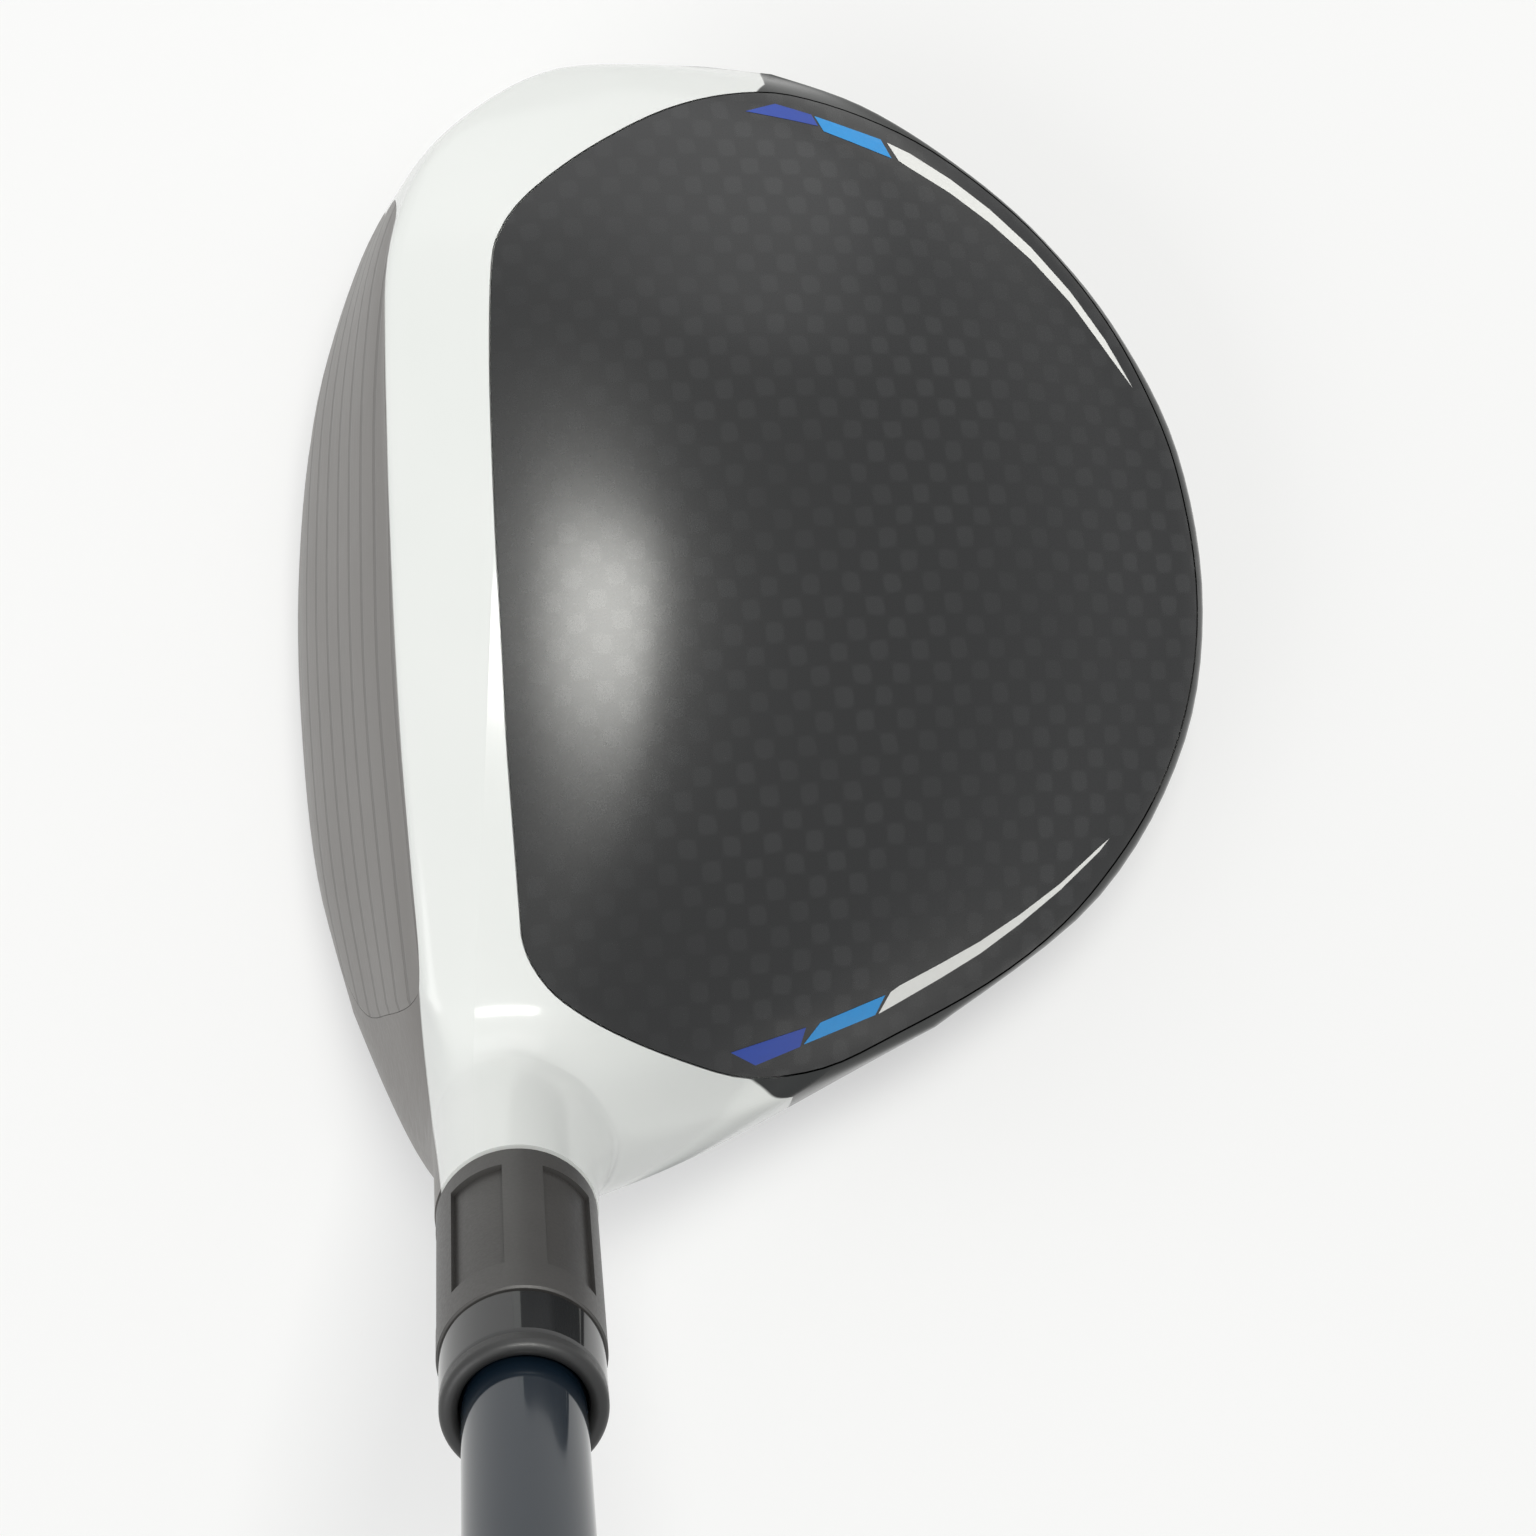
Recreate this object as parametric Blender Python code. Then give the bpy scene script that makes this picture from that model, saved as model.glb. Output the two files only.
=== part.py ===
# Golf wood with a carbon crown panel, a loft sleeve, a graphite shaft and a rubber grip.
# Frame: +X rear, -X face, +Y toe, +Z up. The origin is the middle of the sole keel flat.
import bpy
import bmesh
import math
import numpy as np
from mathutils import Vector

MM = 0.001

# Club setting
LIE = math.radians(58.0)
AXIS_X = -20.0
AXIS_Y = -25.0
CLUB_LENGTH = 1098.0

# Head skin: one row per station from heel to toe, all in millimetres
STATION_Y = (-35.9, -24.0, -10.0, 4.0, 18.0, 29.0, 37.5, 43.6, 48.3, 50.9)
LEAD_X = (-33.6, -37.2, -39.2, -40.1, -39.6, -37.1, -33.5, -28.0, -20.5, -10.0)
TOPLINE_X = (-28.2, -29.6, -31.2, -32.3, -33.3, -33.2, -30.6, -25.8, -19.2, -10.0)
BACK_X = (18.0, 32.6, 40.6, 42.5, 39.8, 33.7, 26.1, 18.0, 9.2, 0.0)
SOLE_Z = (3.4, 1.4, 0.8, 0.8, 1.6, 3.2, 5.4, 8.2, 12.2, 18.0)
TOPLINE_Z = (33.5, 34.5, 35.0, 34.6, 33.2, 31.0, 28.6, 26.2, 23.2, 18.0)
CROWN_Z = (35.6, 37.6, 38.6, 38.4, 36.6, 33.8, 30.8, 27.9, 24.2, 18.0)
BACK_Z = (17.0, 15.5, 14.5, 14.5, 15.0, 15.8, 16.4, 17.0, 17.6, 18.0)
TOE_TIP = (-5.5, 51.0, 18.0)
HEEL_FROM = -20.0
HEAD_ROWS = 20
FAN_ROWS = 8
NECK_ROWS = 3
SPAN_STEPS = 4
TOE_PANEL_ROWS = 2
TOE_SOLID_ROWS = 5

# Nose and edge rounds of one section
NOSE_RISE = 5.2
NOSE_BACK = 3.6
NOSE_LIFT = 1.2
FACE_ROLL = 0.5
EDGE_DROP = 1.8
EDGE_BACK = 2.4
EDGE_FRONT = 0.4
EDGE_LIFT = 0.5
FULL_RISE = 12.0

# Walls, panels and gaps
GAP = 0.3
FIT = 0.2
WALL = 2.6
PANEL = 1.1
CROWN_LEDGE = 4.0
SOLE_LEDGE = 3.5
CROWN_FLOOR_Z = 17.2
SOLE_SEAT_Z = 11.0
REACH = 60.0

CROWN_EDGE = (
    (-20.2, -28.5), (-19.8, -31.2), (-18.6, -33.6), (-16.3, -35.9), (-12.0, -38.2), (-6.0, -40.2),
    (0.5, -41.3), (7.3, -39.9), (13.9, -36.3), (22.0, -31.2), (28.6, -25.6), (33.2, -20.0),
    (36.6, -14.5), (38.8, -9.1), (40.1, -3.7), (40.6, 1.6), (40.3, 7.0), (39.3, 12.3),
    (37.8, 17.5), (35.4, 22.7), (32.3, 28.0), (28.1, 33.3), (22.8, 38.5), (15.6, 43.7),
    (9.0, 46.4), (2.0, 47.4), (-3.8, 46.2), (-9.5, 43.6), (-15.2, 39.6), (-19.2, 36.2),
    (-22.2, 33.0), (-23.8, 30.2), (-24.5, 27.0), (-24.4, 18.0), (-23.8, 8.0), (-23.0, -2.0),
    (-21.9, -14.0), (-20.8, -23.5),
)
FACE_EDGE = (
    (-36.2, 15.0), (-36.8, 23.0), (-36.2, 31.0), (-33.6, 33.5), (-24.0, 34.5), (-10.0, 35.0),
    (4.0, 34.6), (18.0, 33.2), (27.0, 31.2), (32.5, 28.4), (35.0, 23.0), (33.6, 15.6),
    (28.0, 9.4), (18.0, 6.6), (4.0, 5.6), (-10.0, 5.6), (-22.0, 6.2), (-31.0, 8.6),
)

# Sole plate, keel and slot
SOLE_CENTRE = (9.0, 6.0)
SOLE_HALF = (25.0, 26.0)
SOLE_POWER = 2.6
KEEL_EDGE = ((-13.0, -4.6), (-11.0, -6.2), (10.0, -6.2), (17.0, 0.0), (10.0, 6.2), (-11.0, 6.2), (-13.0, 4.6))
KEEL_FLARE = 2.0
KEEL_TOP = 5.0
SLOT_X = -27.0
SLOT_Y = (-16.0, 30.0)
SLOT_WIDTH = 3.4

# Round fits, each radius built on the one inside it
SHAFT_TIP_RADIUS = 4.25
SLEEVE_WALL = 0.6
TOOTH_HEIGHT = 0.6
NECK_WALL = 0.65
TUBE_WALL = 1.65
COLLAR_STEP = 0.1
FERRULE_STEP = 0.2
SHAFT_SWELL = 0.35
TIP_BORE = SHAFT_TIP_RADIUS + FIT
BARREL_RADIUS = TIP_BORE + SLEEVE_WALL
BORE_RADIUS = BARREL_RADIUS + FIT
SPLINE_RADIUS = BARREL_RADIUS + TOOTH_HEIGHT
SPLINE_SLOT_RADIUS = SPLINE_RADIUS + FIT
NECK_RADIUS = SPLINE_SLOT_RADIUS + NECK_WALL
TUBE_RADIUS = BORE_RADIUS + TUBE_WALL
COLLAR_RADIUS = NECK_RADIUS - COLLAR_STEP
FERRULE_RADIUS = COLLAR_RADIUS - FERRULE_STEP
SHAFT_FERRULE_RADIUS = SHAFT_TIP_RADIUS + SHAFT_SWELL
SPLINES = 12
SPLINE_LENGTH = 7.0
SPLINE_WIDTH = 1.2

# Screw, its washer and its ring
SCREW_RADIUS = 2.45
HEAD_STEP = 1.55
PORT_PLAY = 0.6
GROOVE_DEPTH = 0.5
RING_LIP = 0.5
SOCKET_RADIUS = 2.4
SOCKET_DEPTH = 2.8
LOBE_DEPTH = 0.8
LOBE_WIDTH = 1.1
THREAD_RADIUS = SCREW_RADIUS + FIT
SCREW_HOLE = SCREW_RADIUS + FIT + FIT
SCREW_HEAD_RADIUS = SCREW_RADIUS + HEAD_STEP
PORT_RADIUS = SCREW_HEAD_RADIUS + PORT_PLAY
RING_RADIUS = PORT_RADIUS + GROOVE_DEPTH
RING_HOLE = SCREW_HEAD_RADIUS - RING_LIP

# Stack of pieces up the shaft line, measured from the ground
RING_START = 6.7
RING_THICK = 1.0
RING_PLAY = 0.6
HEAD_HEIGHT = 4.4
WASHER_THICK = 1.0
WEB = 2.5
THREAD_LENGTH = 11.7
TIP_GAP = 3.6
NECK_TOP = 54.0
COLLAR_LENGTH = 20.0
FERRULE_LENGTH = 7.0
RING_END = RING_START + RING_THICK
HEAD_START = RING_END + RING_PLAY
HEAD_END = HEAD_START + HEAD_HEIGHT
WASHER_START = HEAD_END + GAP
WASHER_END = WASHER_START + WASHER_THICK
SEAT = WASHER_END + GAP
BORE_FLOOR = SEAT + WEB
SLEEVE_BASE = BORE_FLOOR + GAP
SCREW_END = SLEEVE_BASE + THREAD_LENGTH
TIP_FLOOR = SCREW_END + TIP_GAP
SHAFT_TIP = TIP_FLOOR + GAP
SLEEVE_TOP = NECK_TOP + COLLAR_LENGTH
FERRULE_START = SLEEVE_TOP + GAP
FERRULE_TOP = SLEEVE_TOP + FERRULE_LENGTH
BREAK = 0.4

# Sleeve windows
WINDOWS = 5
WINDOW_WIDTH = 4.7
WINDOW_LENGTH = 14.0
WINDOW_DEPTH = 0.45
WINDOW_TURN = math.radians(54)
WINDOW_MIDDLE = NECK_TOP + 0.48 * COLLAR_LENGTH

# Shaft and grip
GRIP_LENGTH = 270.0
BUTT_LENGTH = 98.0
BUTT_ROOM = 6.0
SHAFT_BUTT_RADIUS = 7.6
SHAFT_WALL = 1.2
GRIP_MOUTH_WALL = 1.8
GRIP_BUTT_WALL = 5.0
GRIP_CAP_FLARE = 2.2
GRIP_ROUND = 1.8
TAPE_INSET = 4.0
TAPE = 0.25
TAPE_FIT = 0.15
CAP_RADIUS = 11.0
CAP_HOLE = 1.2
CAP_FLANGE = 2.6
PLUG_LENGTH = 6.0
SHAFT_END = CLUB_LENGTH - BUTT_ROOM
GRIP_START = CLUB_LENGTH - GRIP_LENGTH
BUTT_START = CLUB_LENGTH - BUTT_LENGTH
TURN_STEPS = 32
SLEEVE_STEPS = 48

# Neck: the sections swing about a line above the crown until they face up the shaft
NECK_FILLET = 6.0
PIVOT_Z = 41.0
FAN_EASE = ((2.3, 1.5), (2.3, 1.3), (2.1, 1.0), (1.7, 1.0), (1.5, 1.0), (1.6, 1.0),
            (1.75, 1.1), (1.8, 1.3), (1.8, 1.4), (1.8, 1.5), (1.9, 1.5), (2.3, 1.5))

SHAFT_DIR = Vector((0.0, -math.cos(LIE), math.sin(LIE)))
SIDE_DIR = Vector((0.0, math.sin(LIE), math.cos(LIE)))
LEAN = math.pi / 2 - LIE
PIVOT_Y = AXIS_Y + (NECK_RADIUS + NECK_FILLET - PIVOT_Z * math.cos(LIE)) / math.sin(LIE)
NECK_START = (PIVOT_Y - AXIS_Y) * -math.cos(LIE) + PIVOT_Z * math.sin(LIE)

for old in list(bpy.data.objects):
    bpy.data.objects.remove(old, do_unlink=True)

parts = bpy.data.collections.new("golf_wood")
cutters = bpy.data.collections.new("cutters")
bpy.context.scene.collection.children.link(parts)
bpy.context.scene.collection.children.link(cutters)


def material(name, colour, metallic, roughness):
    mat = bpy.data.materials.new(name)
    mat.use_nodes = True
    shader = mat.node_tree.nodes["Principled BSDF"]
    shader.inputs["Base Color"].default_value = (*colour, 1.0)
    shader.inputs["Metallic"].default_value = metallic
    shader.inputs["Roughness"].default_value = roughness
    mat.diffuse_color = (*colour, 1.0)
    return mat


def mesh_object(name, verts, faces, cutter=False):
    mesh = bpy.data.meshes.new(name)
    mesh.from_pydata([Vector(v) * MM for v in verts], [], faces)
    mesh.update()
    bm = bmesh.new()
    bm.from_mesh(mesh)
    bmesh.ops.remove_doubles(bm, verts=bm.verts, dist=1e-7)
    bmesh.ops.recalc_face_normals(bm, faces=bm.faces)
    if bm.calc_volume(signed=True) < 0:
        bmesh.ops.reverse_faces(bm, faces=bm.faces)
    bm.to_mesh(mesh)
    bm.free()
    obj = bpy.data.objects.new(name, mesh)
    if cutter:
        cutters.objects.link(obj)
        obj.hide_render = True
        obj.display_type = "WIRE"
    else:
        parts.objects.link(obj)
    return obj


def boolean(target, cutter, operation):
    mod = target.modifiers.new(operation.lower() + "_" + cutter.name, "BOOLEAN")
    mod.operation = operation
    mod.solver = "EXACT"
    mod.object = cutter
    return target


def cut(target, cutter):
    return boolean(target, cutter, "DIFFERENCE")


def keep(target, cutter):
    return boolean(target, cutter, "INTERSECT")


def paint(obj, colour, metallic, roughness):
    obj.data.materials.append(material(obj.name + "_finish", colour, metallic, roughness))


def smooth_loop(points, steps):
    pts = np.array(points, dtype=float)
    n = len(pts)
    out = []
    for i in range(n):
        a, b, c, d = pts[i - 1], pts[i], pts[(i + 1) % n], pts[(i + 2) % n]
        for k in range(steps):
            t = k / steps
            out.append(0.5 * (2 * b + (c - a) * t + (2 * a - 5 * b + 4 * c - d) * t * t
                              + (3 * b - a - 3 * c + d) * t ** 3))
    return np.array(out)


def inset_loop(points, amount):
    pts = np.array(points, dtype=float)
    ahead = np.roll(pts, -1, axis=0) - np.roll(pts, 1, axis=0)
    ahead /= np.linalg.norm(ahead, axis=1)[:, None]
    left = np.stack([-ahead[:, 1], ahead[:, 0]], axis=1)
    area = np.sum(pts[:, 0] * np.roll(pts[:, 1], -1) - np.roll(pts[:, 0], -1) * pts[:, 1])
    return pts + left * amount * (1.0 if area > 0 else -1.0)


def prism(name, loop, low, high, along="Z", cutter=True):
    n = len(loop)
    verts = []
    for level in (low, high):
        for a, b in loop:
            verts.append((a, b, level) if along == "Z" else (level, a, b))
    faces = [tuple(range(n)), tuple(range(n, 2 * n))]
    faces += [(i, (i + 1) % n, n + (i + 1) % n, n + i) for i in range(n)]
    return mesh_object(name, verts, faces, cutter)


def turned(name, profile, cutter=False, steps=TURN_STEPS):
    verts = []
    faces = []
    n = len(profile)
    for k in range(steps):
        a = 2 * math.pi * k / steps
        for r, s in profile:
            verts.append((r * math.cos(a), r * math.sin(a), s))
    for k in range(steps):
        m = (k + 1) % steps
        for i in range(n):
            j = (i + 1) % n
            if profile[i][0] == 0.0 and profile[j][0] == 0.0:
                continue
            faces.append((k * n + i, k * n + j, m * n + j, m * n + i))
    obj = mesh_object(name, verts, faces, cutter)
    obj.location = Vector((AXIS_X, AXIS_Y, 0.0)) * MM
    obj.rotation_euler = (LEAN, 0.0, 0.0)
    return obj


def plain_rod(name, radius):
    return turned(name, [(0.0, -REACH), (radius, -REACH), (radius, REACH), (0.0, REACH)], True)


def axis_boxes(name, count, size, middle, radius, turn=0.0):
    verts = []
    faces = []
    for k in range(count):
        a = 2 * math.pi * k / count + turn
        out = Vector((math.cos(a), math.sin(a), 0.0))
        side = Vector((-math.sin(a), math.cos(a), 0.0))
        base = len(verts)
        for x, y, z in ((0, 0, 0), (1, 0, 0), (1, 1, 0), (0, 1, 0), (0, 0, 1), (1, 0, 1), (1, 1, 1), (0, 1, 1)):
            p = out * (radius + (x - 0.5) * size[0]) + side * (y - 0.5) * size[1]
            verts.append((p.x, p.y, middle + (z - 0.5) * size[2]))
        for f in ((0, 3, 2, 1), (4, 5, 6, 7), (0, 1, 5, 4), (1, 2, 6, 5), (2, 3, 7, 6), (3, 0, 4, 7)):
            faces.append(tuple(base + i for i in f))
    obj = mesh_object(name, verts, faces, True)
    obj.location = Vector((AXIS_X, AXIS_Y, 0.0)) * MM
    obj.rotation_euler = (LEAN, 0.0, 0.0)
    return obj


def ease(values, t):
    pts = np.array(values, dtype=float)
    x = t * (len(pts) - 1)
    i = min(int(x), len(pts) - 2)
    f = x - i
    a, b, c, d = pts[max(i - 1, 0)], pts[i], pts[i + 1], pts[min(i + 2, len(pts) - 1)]
    return 0.5 * (2 * b + (c - a) * f + (2 * a - 5 * b + 4 * c - d) * f * f + (3 * b - a - 3 * c + d) * f ** 3)


def head_keys(lead, top, back, sole, line, crown, rear):
    width = back - top
    drop = crown - rear
    rise = rear - sole
    full = min(1.0, rise / FULL_RISE)
    nose = NOSE_RISE * full
    return np.array((
        (lead, sole + nose),
        (0.5 * (lead + top) - FACE_ROLL * full, 0.5 * (sole + nose + line)),
        (top - EDGE_FRONT * full, line - EDGE_DROP * full),
        (top + min(EDGE_BACK, 0.2 * width), line + 0.25 * (crown - line) + EDGE_LIFT * full),
        (top + 0.30 * width, crown),
        (top + 0.64 * width, rear + 0.71 * drop),
        (top + 0.915 * width, rear + 0.22 * drop),
        (back, rear),
        (top + 0.93 * width, sole + 0.45 * rise),
        (top + 0.66 * width, sole + 0.13 * rise),
        (top + 0.32 * width, sole),
        (lead + min(NOSE_BACK, 0.25 * width), sole + NOSE_LIFT * full),
    ))


def neck_keys():
    angles = [math.radians(210 - 30 * k) for k in range(12)]
    middle = NECK_FILLET + NECK_RADIUS
    return np.array([(AXIS_X + NECK_RADIUS * math.cos(a), middle - NECK_RADIUS * math.sin(a)) for a in angles])


def skin_rows(inset=0.0):
    rows = []
    for k in range(HEAD_ROWS):
        t = 0.985 * (1 - k / (HEAD_ROWS - 1))
        table = (LEAD_X, TOPLINE_X, BACK_X, SOLE_Z, TOPLINE_Z, CROWN_Z, BACK_Z)
        keys = head_keys(*[ease(v, t) for v in table])
        y = ease(STATION_Y, t)
        y += (PIVOT_Y - STATION_Y[0]) * (1 - t) ** 4
        rows.append([(x, y, z) for x, z in smooth_loop(inset_loop(keys, inset), SPAN_STEPS)])
    first = head_keys(*[v[0] for v in (LEAD_X, TOPLINE_X, BACK_X, SOLE_Z, TOPLINE_Z, CROWN_Z, BACK_Z)])
    start = np.stack([first[:, 0], PIVOT_Z - first[:, 1]], axis=1)
    end = neck_keys()
    swing = math.pi / 2 - LEAN
    total = FAN_ROWS + NECK_ROWS
    for k in range(1, total + 1):
        f = k / total
        w = np.array([[1 - (1 - f) ** p, 1 - (1 - f) ** q] for p, q in FAN_EASE])
        keys = start * (1 - w) + end * w
        a = swing * min(1.0, k / FAN_ROWS)
        up = (NECK_TOP - NECK_START) * max(0.0, (k - FAN_ROWS) / NECK_ROWS)
        loop = smooth_loop(inset_loop(keys, inset), SPAN_STEPS)
        rows.append([(x, PIVOT_Y - r * math.sin(a) + up * SHAFT_DIR.y, PIVOT_Z - r * math.cos(a) + up * SHAFT_DIR.z)
                     for x, r in loop])
    return rows


def loft(name, rows, cutter=False, tip=TOE_TIP):
    n = len(rows[0])
    verts = [tip]
    for row in rows:
        verts += row
    faces = [(0, 1 + i, 1 + (i + 1) % n) for i in range(n)]
    for r in range(len(rows) - 1):
        a = 1 + r * n
        b = a + n
        faces += [(a + i, b + i, b + (i + 1) % n, a + (i + 1) % n) for i in range(n)]
    end = 1 + (len(rows) - 1) * n
    faces.append(tuple(end + i for i in range(n)))
    return mesh_object(name, verts, faces, cutter)


def inner_loft(name, inset, first_row):
    rows = skin_rows(inset)[first_row:HEAD_ROWS + 2]
    return loft(name, rows, True, tuple(np.mean(rows[0], axis=0)))


rows = skin_rows()
skin = loft("skin_form", rows, True)
under = inner_loft("panel_under_form", PANEL, TOE_PANEL_ROWS)
ledge = inner_loft("ledge_form", PANEL + GAP, TOE_PANEL_ROWS)
inner = inner_loft("inner_form", WALL, TOE_SOLID_ROWS)
cavity = inner_loft("cavity_form", WALL, TOE_SOLID_ROWS)
cut(cavity, plain_rod("tube_form", TUBE_RADIUS))

# Outlines of the panels
heel_shift = PIVOT_Y - STATION_Y[0]
crown_edge = np.array(CROWN_EDGE)
face_edge = np.array(FACE_EDGE)
crown_edge[:, 1] += heel_shift * np.clip((HEEL_FROM - crown_edge[:, 1]) / (HEEL_FROM - STATION_Y[0]), 0.0, 1.0)
face_edge[:, 0] += heel_shift * np.clip((HEEL_FROM - face_edge[:, 0]) / (HEEL_FROM - STATION_Y[0]), 0.0, 1.0)
crown_loop = smooth_loop(crown_edge, 2)
face_loop = smooth_loop(face_edge, 3)
turn = [2 * math.pi * k / 56 for k in range(56)]
power = 2.0 / SOLE_POWER
sole_loop = np.array([(SOLE_CENTRE[0] + SOLE_HALF[0] * math.copysign(abs(math.cos(a)) ** power, math.cos(a)),
                       SOLE_CENTRE[1] + SOLE_HALF[1] * math.copysign(abs(math.sin(a)) ** power, math.sin(a)))
                      for a in turn])
half = SLOT_WIDTH / 2
bend = [math.radians(15 * k) for k in range(13)]
slot_loop = np.array([(SLOT_X + half * math.cos(a), SLOT_Y[1] + half * math.sin(a)) for a in bend]
                     + [(SLOT_X - half * math.cos(a), SLOT_Y[0] - half * math.sin(a)) for a in bend])

# Cast body: skin less cavity, panel seats, face opening, slot and bore
body = loft("head_body", rows)
cut(body, cavity)
crown_seat = prism("crown_seat", inset_loop(crown_loop, -GAP), CROWN_FLOOR_Z, REACH)
cut(crown_seat, ledge)
cut(body, crown_seat)
cut(body, prism("crown_window", inset_loop(crown_loop, CROWN_LEDGE), CROWN_FLOOR_Z + PANEL + GAP, REACH))
sole_seat = prism("sole_seat", inset_loop(sole_loop, -GAP), -REACH, SOLE_SEAT_Z)
cut(sole_seat, ledge)
cut(body, sole_seat)
cut(body, prism("sole_window", inset_loop(sole_loop, SOLE_LEDGE), -REACH, SOLE_SEAT_Z - PANEL - GAP))
face_opening = prism("face_opening", inset_loop(face_loop, -GAP), -REACH, AXIS_X, "X")
cut(face_opening, plain_rod("tube_shoulder", TUBE_RADIUS + FIT))
cut(body, face_opening)
cut(body, prism("slot_opening", inset_loop(slot_loop, -GAP), -REACH, SOLE_SEAT_Z - PANEL - GAP))
groove_low = RING_START - FIT
groove_high = RING_END + FIT
bore = turned("hosel_bore", [(0.0, -REACH / 6), (PORT_RADIUS, -REACH / 6), (PORT_RADIUS, groove_low),
                             (RING_RADIUS + FIT, groove_low), (RING_RADIUS + FIT, groove_high),
                             (PORT_RADIUS, groove_high), (PORT_RADIUS, SEAT), (SCREW_HOLE, SEAT),
                             (SCREW_HOLE, BORE_FLOOR), (BORE_RADIUS, BORE_FLOOR), (BORE_RADIUS, NECK_TOP + GAP),
                             (0.0, NECK_TOP + GAP)], True)
cut(body, bore)
slot_depth = SPLINE_SLOT_RADIUS - BORE_RADIUS + BREAK
slot_low = NECK_TOP - SPLINE_LENGTH - FIT
slot_high = NECK_TOP + GAP
spline_slots = axis_boxes("spline_slots", SPLINES, (slot_depth, SPLINE_WIDTH + 2 * FIT, slot_high - slot_low),
                          0.5 * (slot_low + slot_high), SPLINE_SLOT_RADIUS - slot_depth / 2)
cut(body, spline_slots)
paint(body, (0.85, 0.85, 0.84), 0.0, 0.25)

# Panels cut from the same skin
crown = prism("crown_panel", crown_loop, CROWN_FLOOR_Z, REACH - GAP, "Z", False)
keep(crown, skin)
cut(crown, under)
paint(crown, (0.03, 0.03, 0.032), 0.0, 0.45)

face = prism("face_plate", face_loop, GAP - REACH, AXIS_X - GAP, "X", False)
keep(face, skin)
cut(face, inner)
cut(face, plain_rod("tube_room", TUBE_RADIUS + FIT + GAP))
paint(face, (0.23, 0.22, 0.21), 1.0, 0.35)

sole = prism("sole_plate", sole_loop, GAP - REACH, SOLE_SEAT_Z - GAP, "Z", False)
keep(sole, skin)
low_edge = np.array(KEEL_EDGE)
high_edge = inset_loop(low_edge, -KEEL_FLARE)
count = len(low_edge)
keel_verts = [(x, y, 0.0) for x, y in low_edge] + [(x, y, KEEL_TOP) for x, y in high_edge]
keel_faces = [tuple(range(count)), tuple(range(count, 2 * count))]
keel_faces += [(i, (i + 1) % count, count + (i + 1) % count, count + i) for i in range(count)]
keel = mesh_object("keel_form", keel_verts, keel_faces, True)
boolean(sole, keel, "UNION")
cut(sole, under)
paint(sole, (0.32, 0.32, 0.33), 1.0, 0.3)

slot = prism("slot_insert", slot_loop, GAP - REACH, SOLE_SEAT_Z - PANEL - 2 * GAP, "Z", False)
keep(slot, skin)
cut(slot, inner)
paint(slot, (0.05, 0.05, 0.055), 0.0, 0.6)

# Sleeve, ferrule and screw
edge = 0.5 * GAP
sleeve = turned("loft_sleeve", [(THREAD_RADIUS, SLEEVE_BASE), (BARREL_RADIUS - BREAK, SLEEVE_BASE),
                                (BARREL_RADIUS, SLEEVE_BASE + BREAK), (BARREL_RADIUS, NECK_TOP + GAP),
                                (COLLAR_RADIUS - edge, NECK_TOP + GAP), (COLLAR_RADIUS, NECK_TOP + GAP + edge),
                                (COLLAR_RADIUS, SLEEVE_TOP - edge), (COLLAR_RADIUS - edge, SLEEVE_TOP),
                                (TIP_BORE, SLEEVE_TOP), (TIP_BORE, TIP_FLOOR),
                                (THREAD_RADIUS, TIP_FLOOR - TIP_BORE + THREAD_RADIUS)], steps=SLEEVE_STEPS)
tooth = SPLINE_RADIUS - BARREL_RADIUS + BREAK
tooth_high = NECK_TOP + GAP + BREAK
tooth_low = NECK_TOP - SPLINE_LENGTH
teeth = axis_boxes("spline_teeth", SPLINES, (tooth, SPLINE_WIDTH, tooth_high - tooth_low),
                   0.5 * (tooth_low + tooth_high), SPLINE_RADIUS - tooth / 2)
boolean(sleeve, teeth, "UNION")
windows = axis_boxes("sleeve_windows", WINDOWS, (COLLAR_RADIUS, WINDOW_WIDTH, WINDOW_LENGTH), WINDOW_MIDDLE,
                     COLLAR_RADIUS, WINDOW_TURN)
floor_radius = COLLAR_RADIUS - WINDOW_DEPTH
cut(windows, turned("window_floor", [(0.0, SLEEVE_BASE), (floor_radius, SLEEVE_BASE), (floor_radius, FERRULE_TOP),
                                     (0.0, FERRULE_TOP)], True, SLEEVE_STEPS))
cut(sleeve, windows)
paint(sleeve, (0.06, 0.06, 0.062), 0.6, 0.5)

mouth = SHAFT_FERRULE_RADIUS + FIT
lip = 0.5 * (FERRULE_RADIUS - mouth)
ferrule = turned("ferrule", [(mouth, FERRULE_START), (FERRULE_RADIUS, FERRULE_START),
                             (FERRULE_RADIUS, FERRULE_TOP - 2 * lip), (FERRULE_RADIUS - 0.25 * lip, FERRULE_TOP - 0.5 * lip),
                             (FERRULE_RADIUS - 0.8 * lip, FERRULE_TOP), (mouth + lip, FERRULE_TOP),
                             (mouth, FERRULE_TOP - 1.6 * lip)])
paint(ferrule, (0.01, 0.01, 0.01), 0.0, 0.15)

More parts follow.
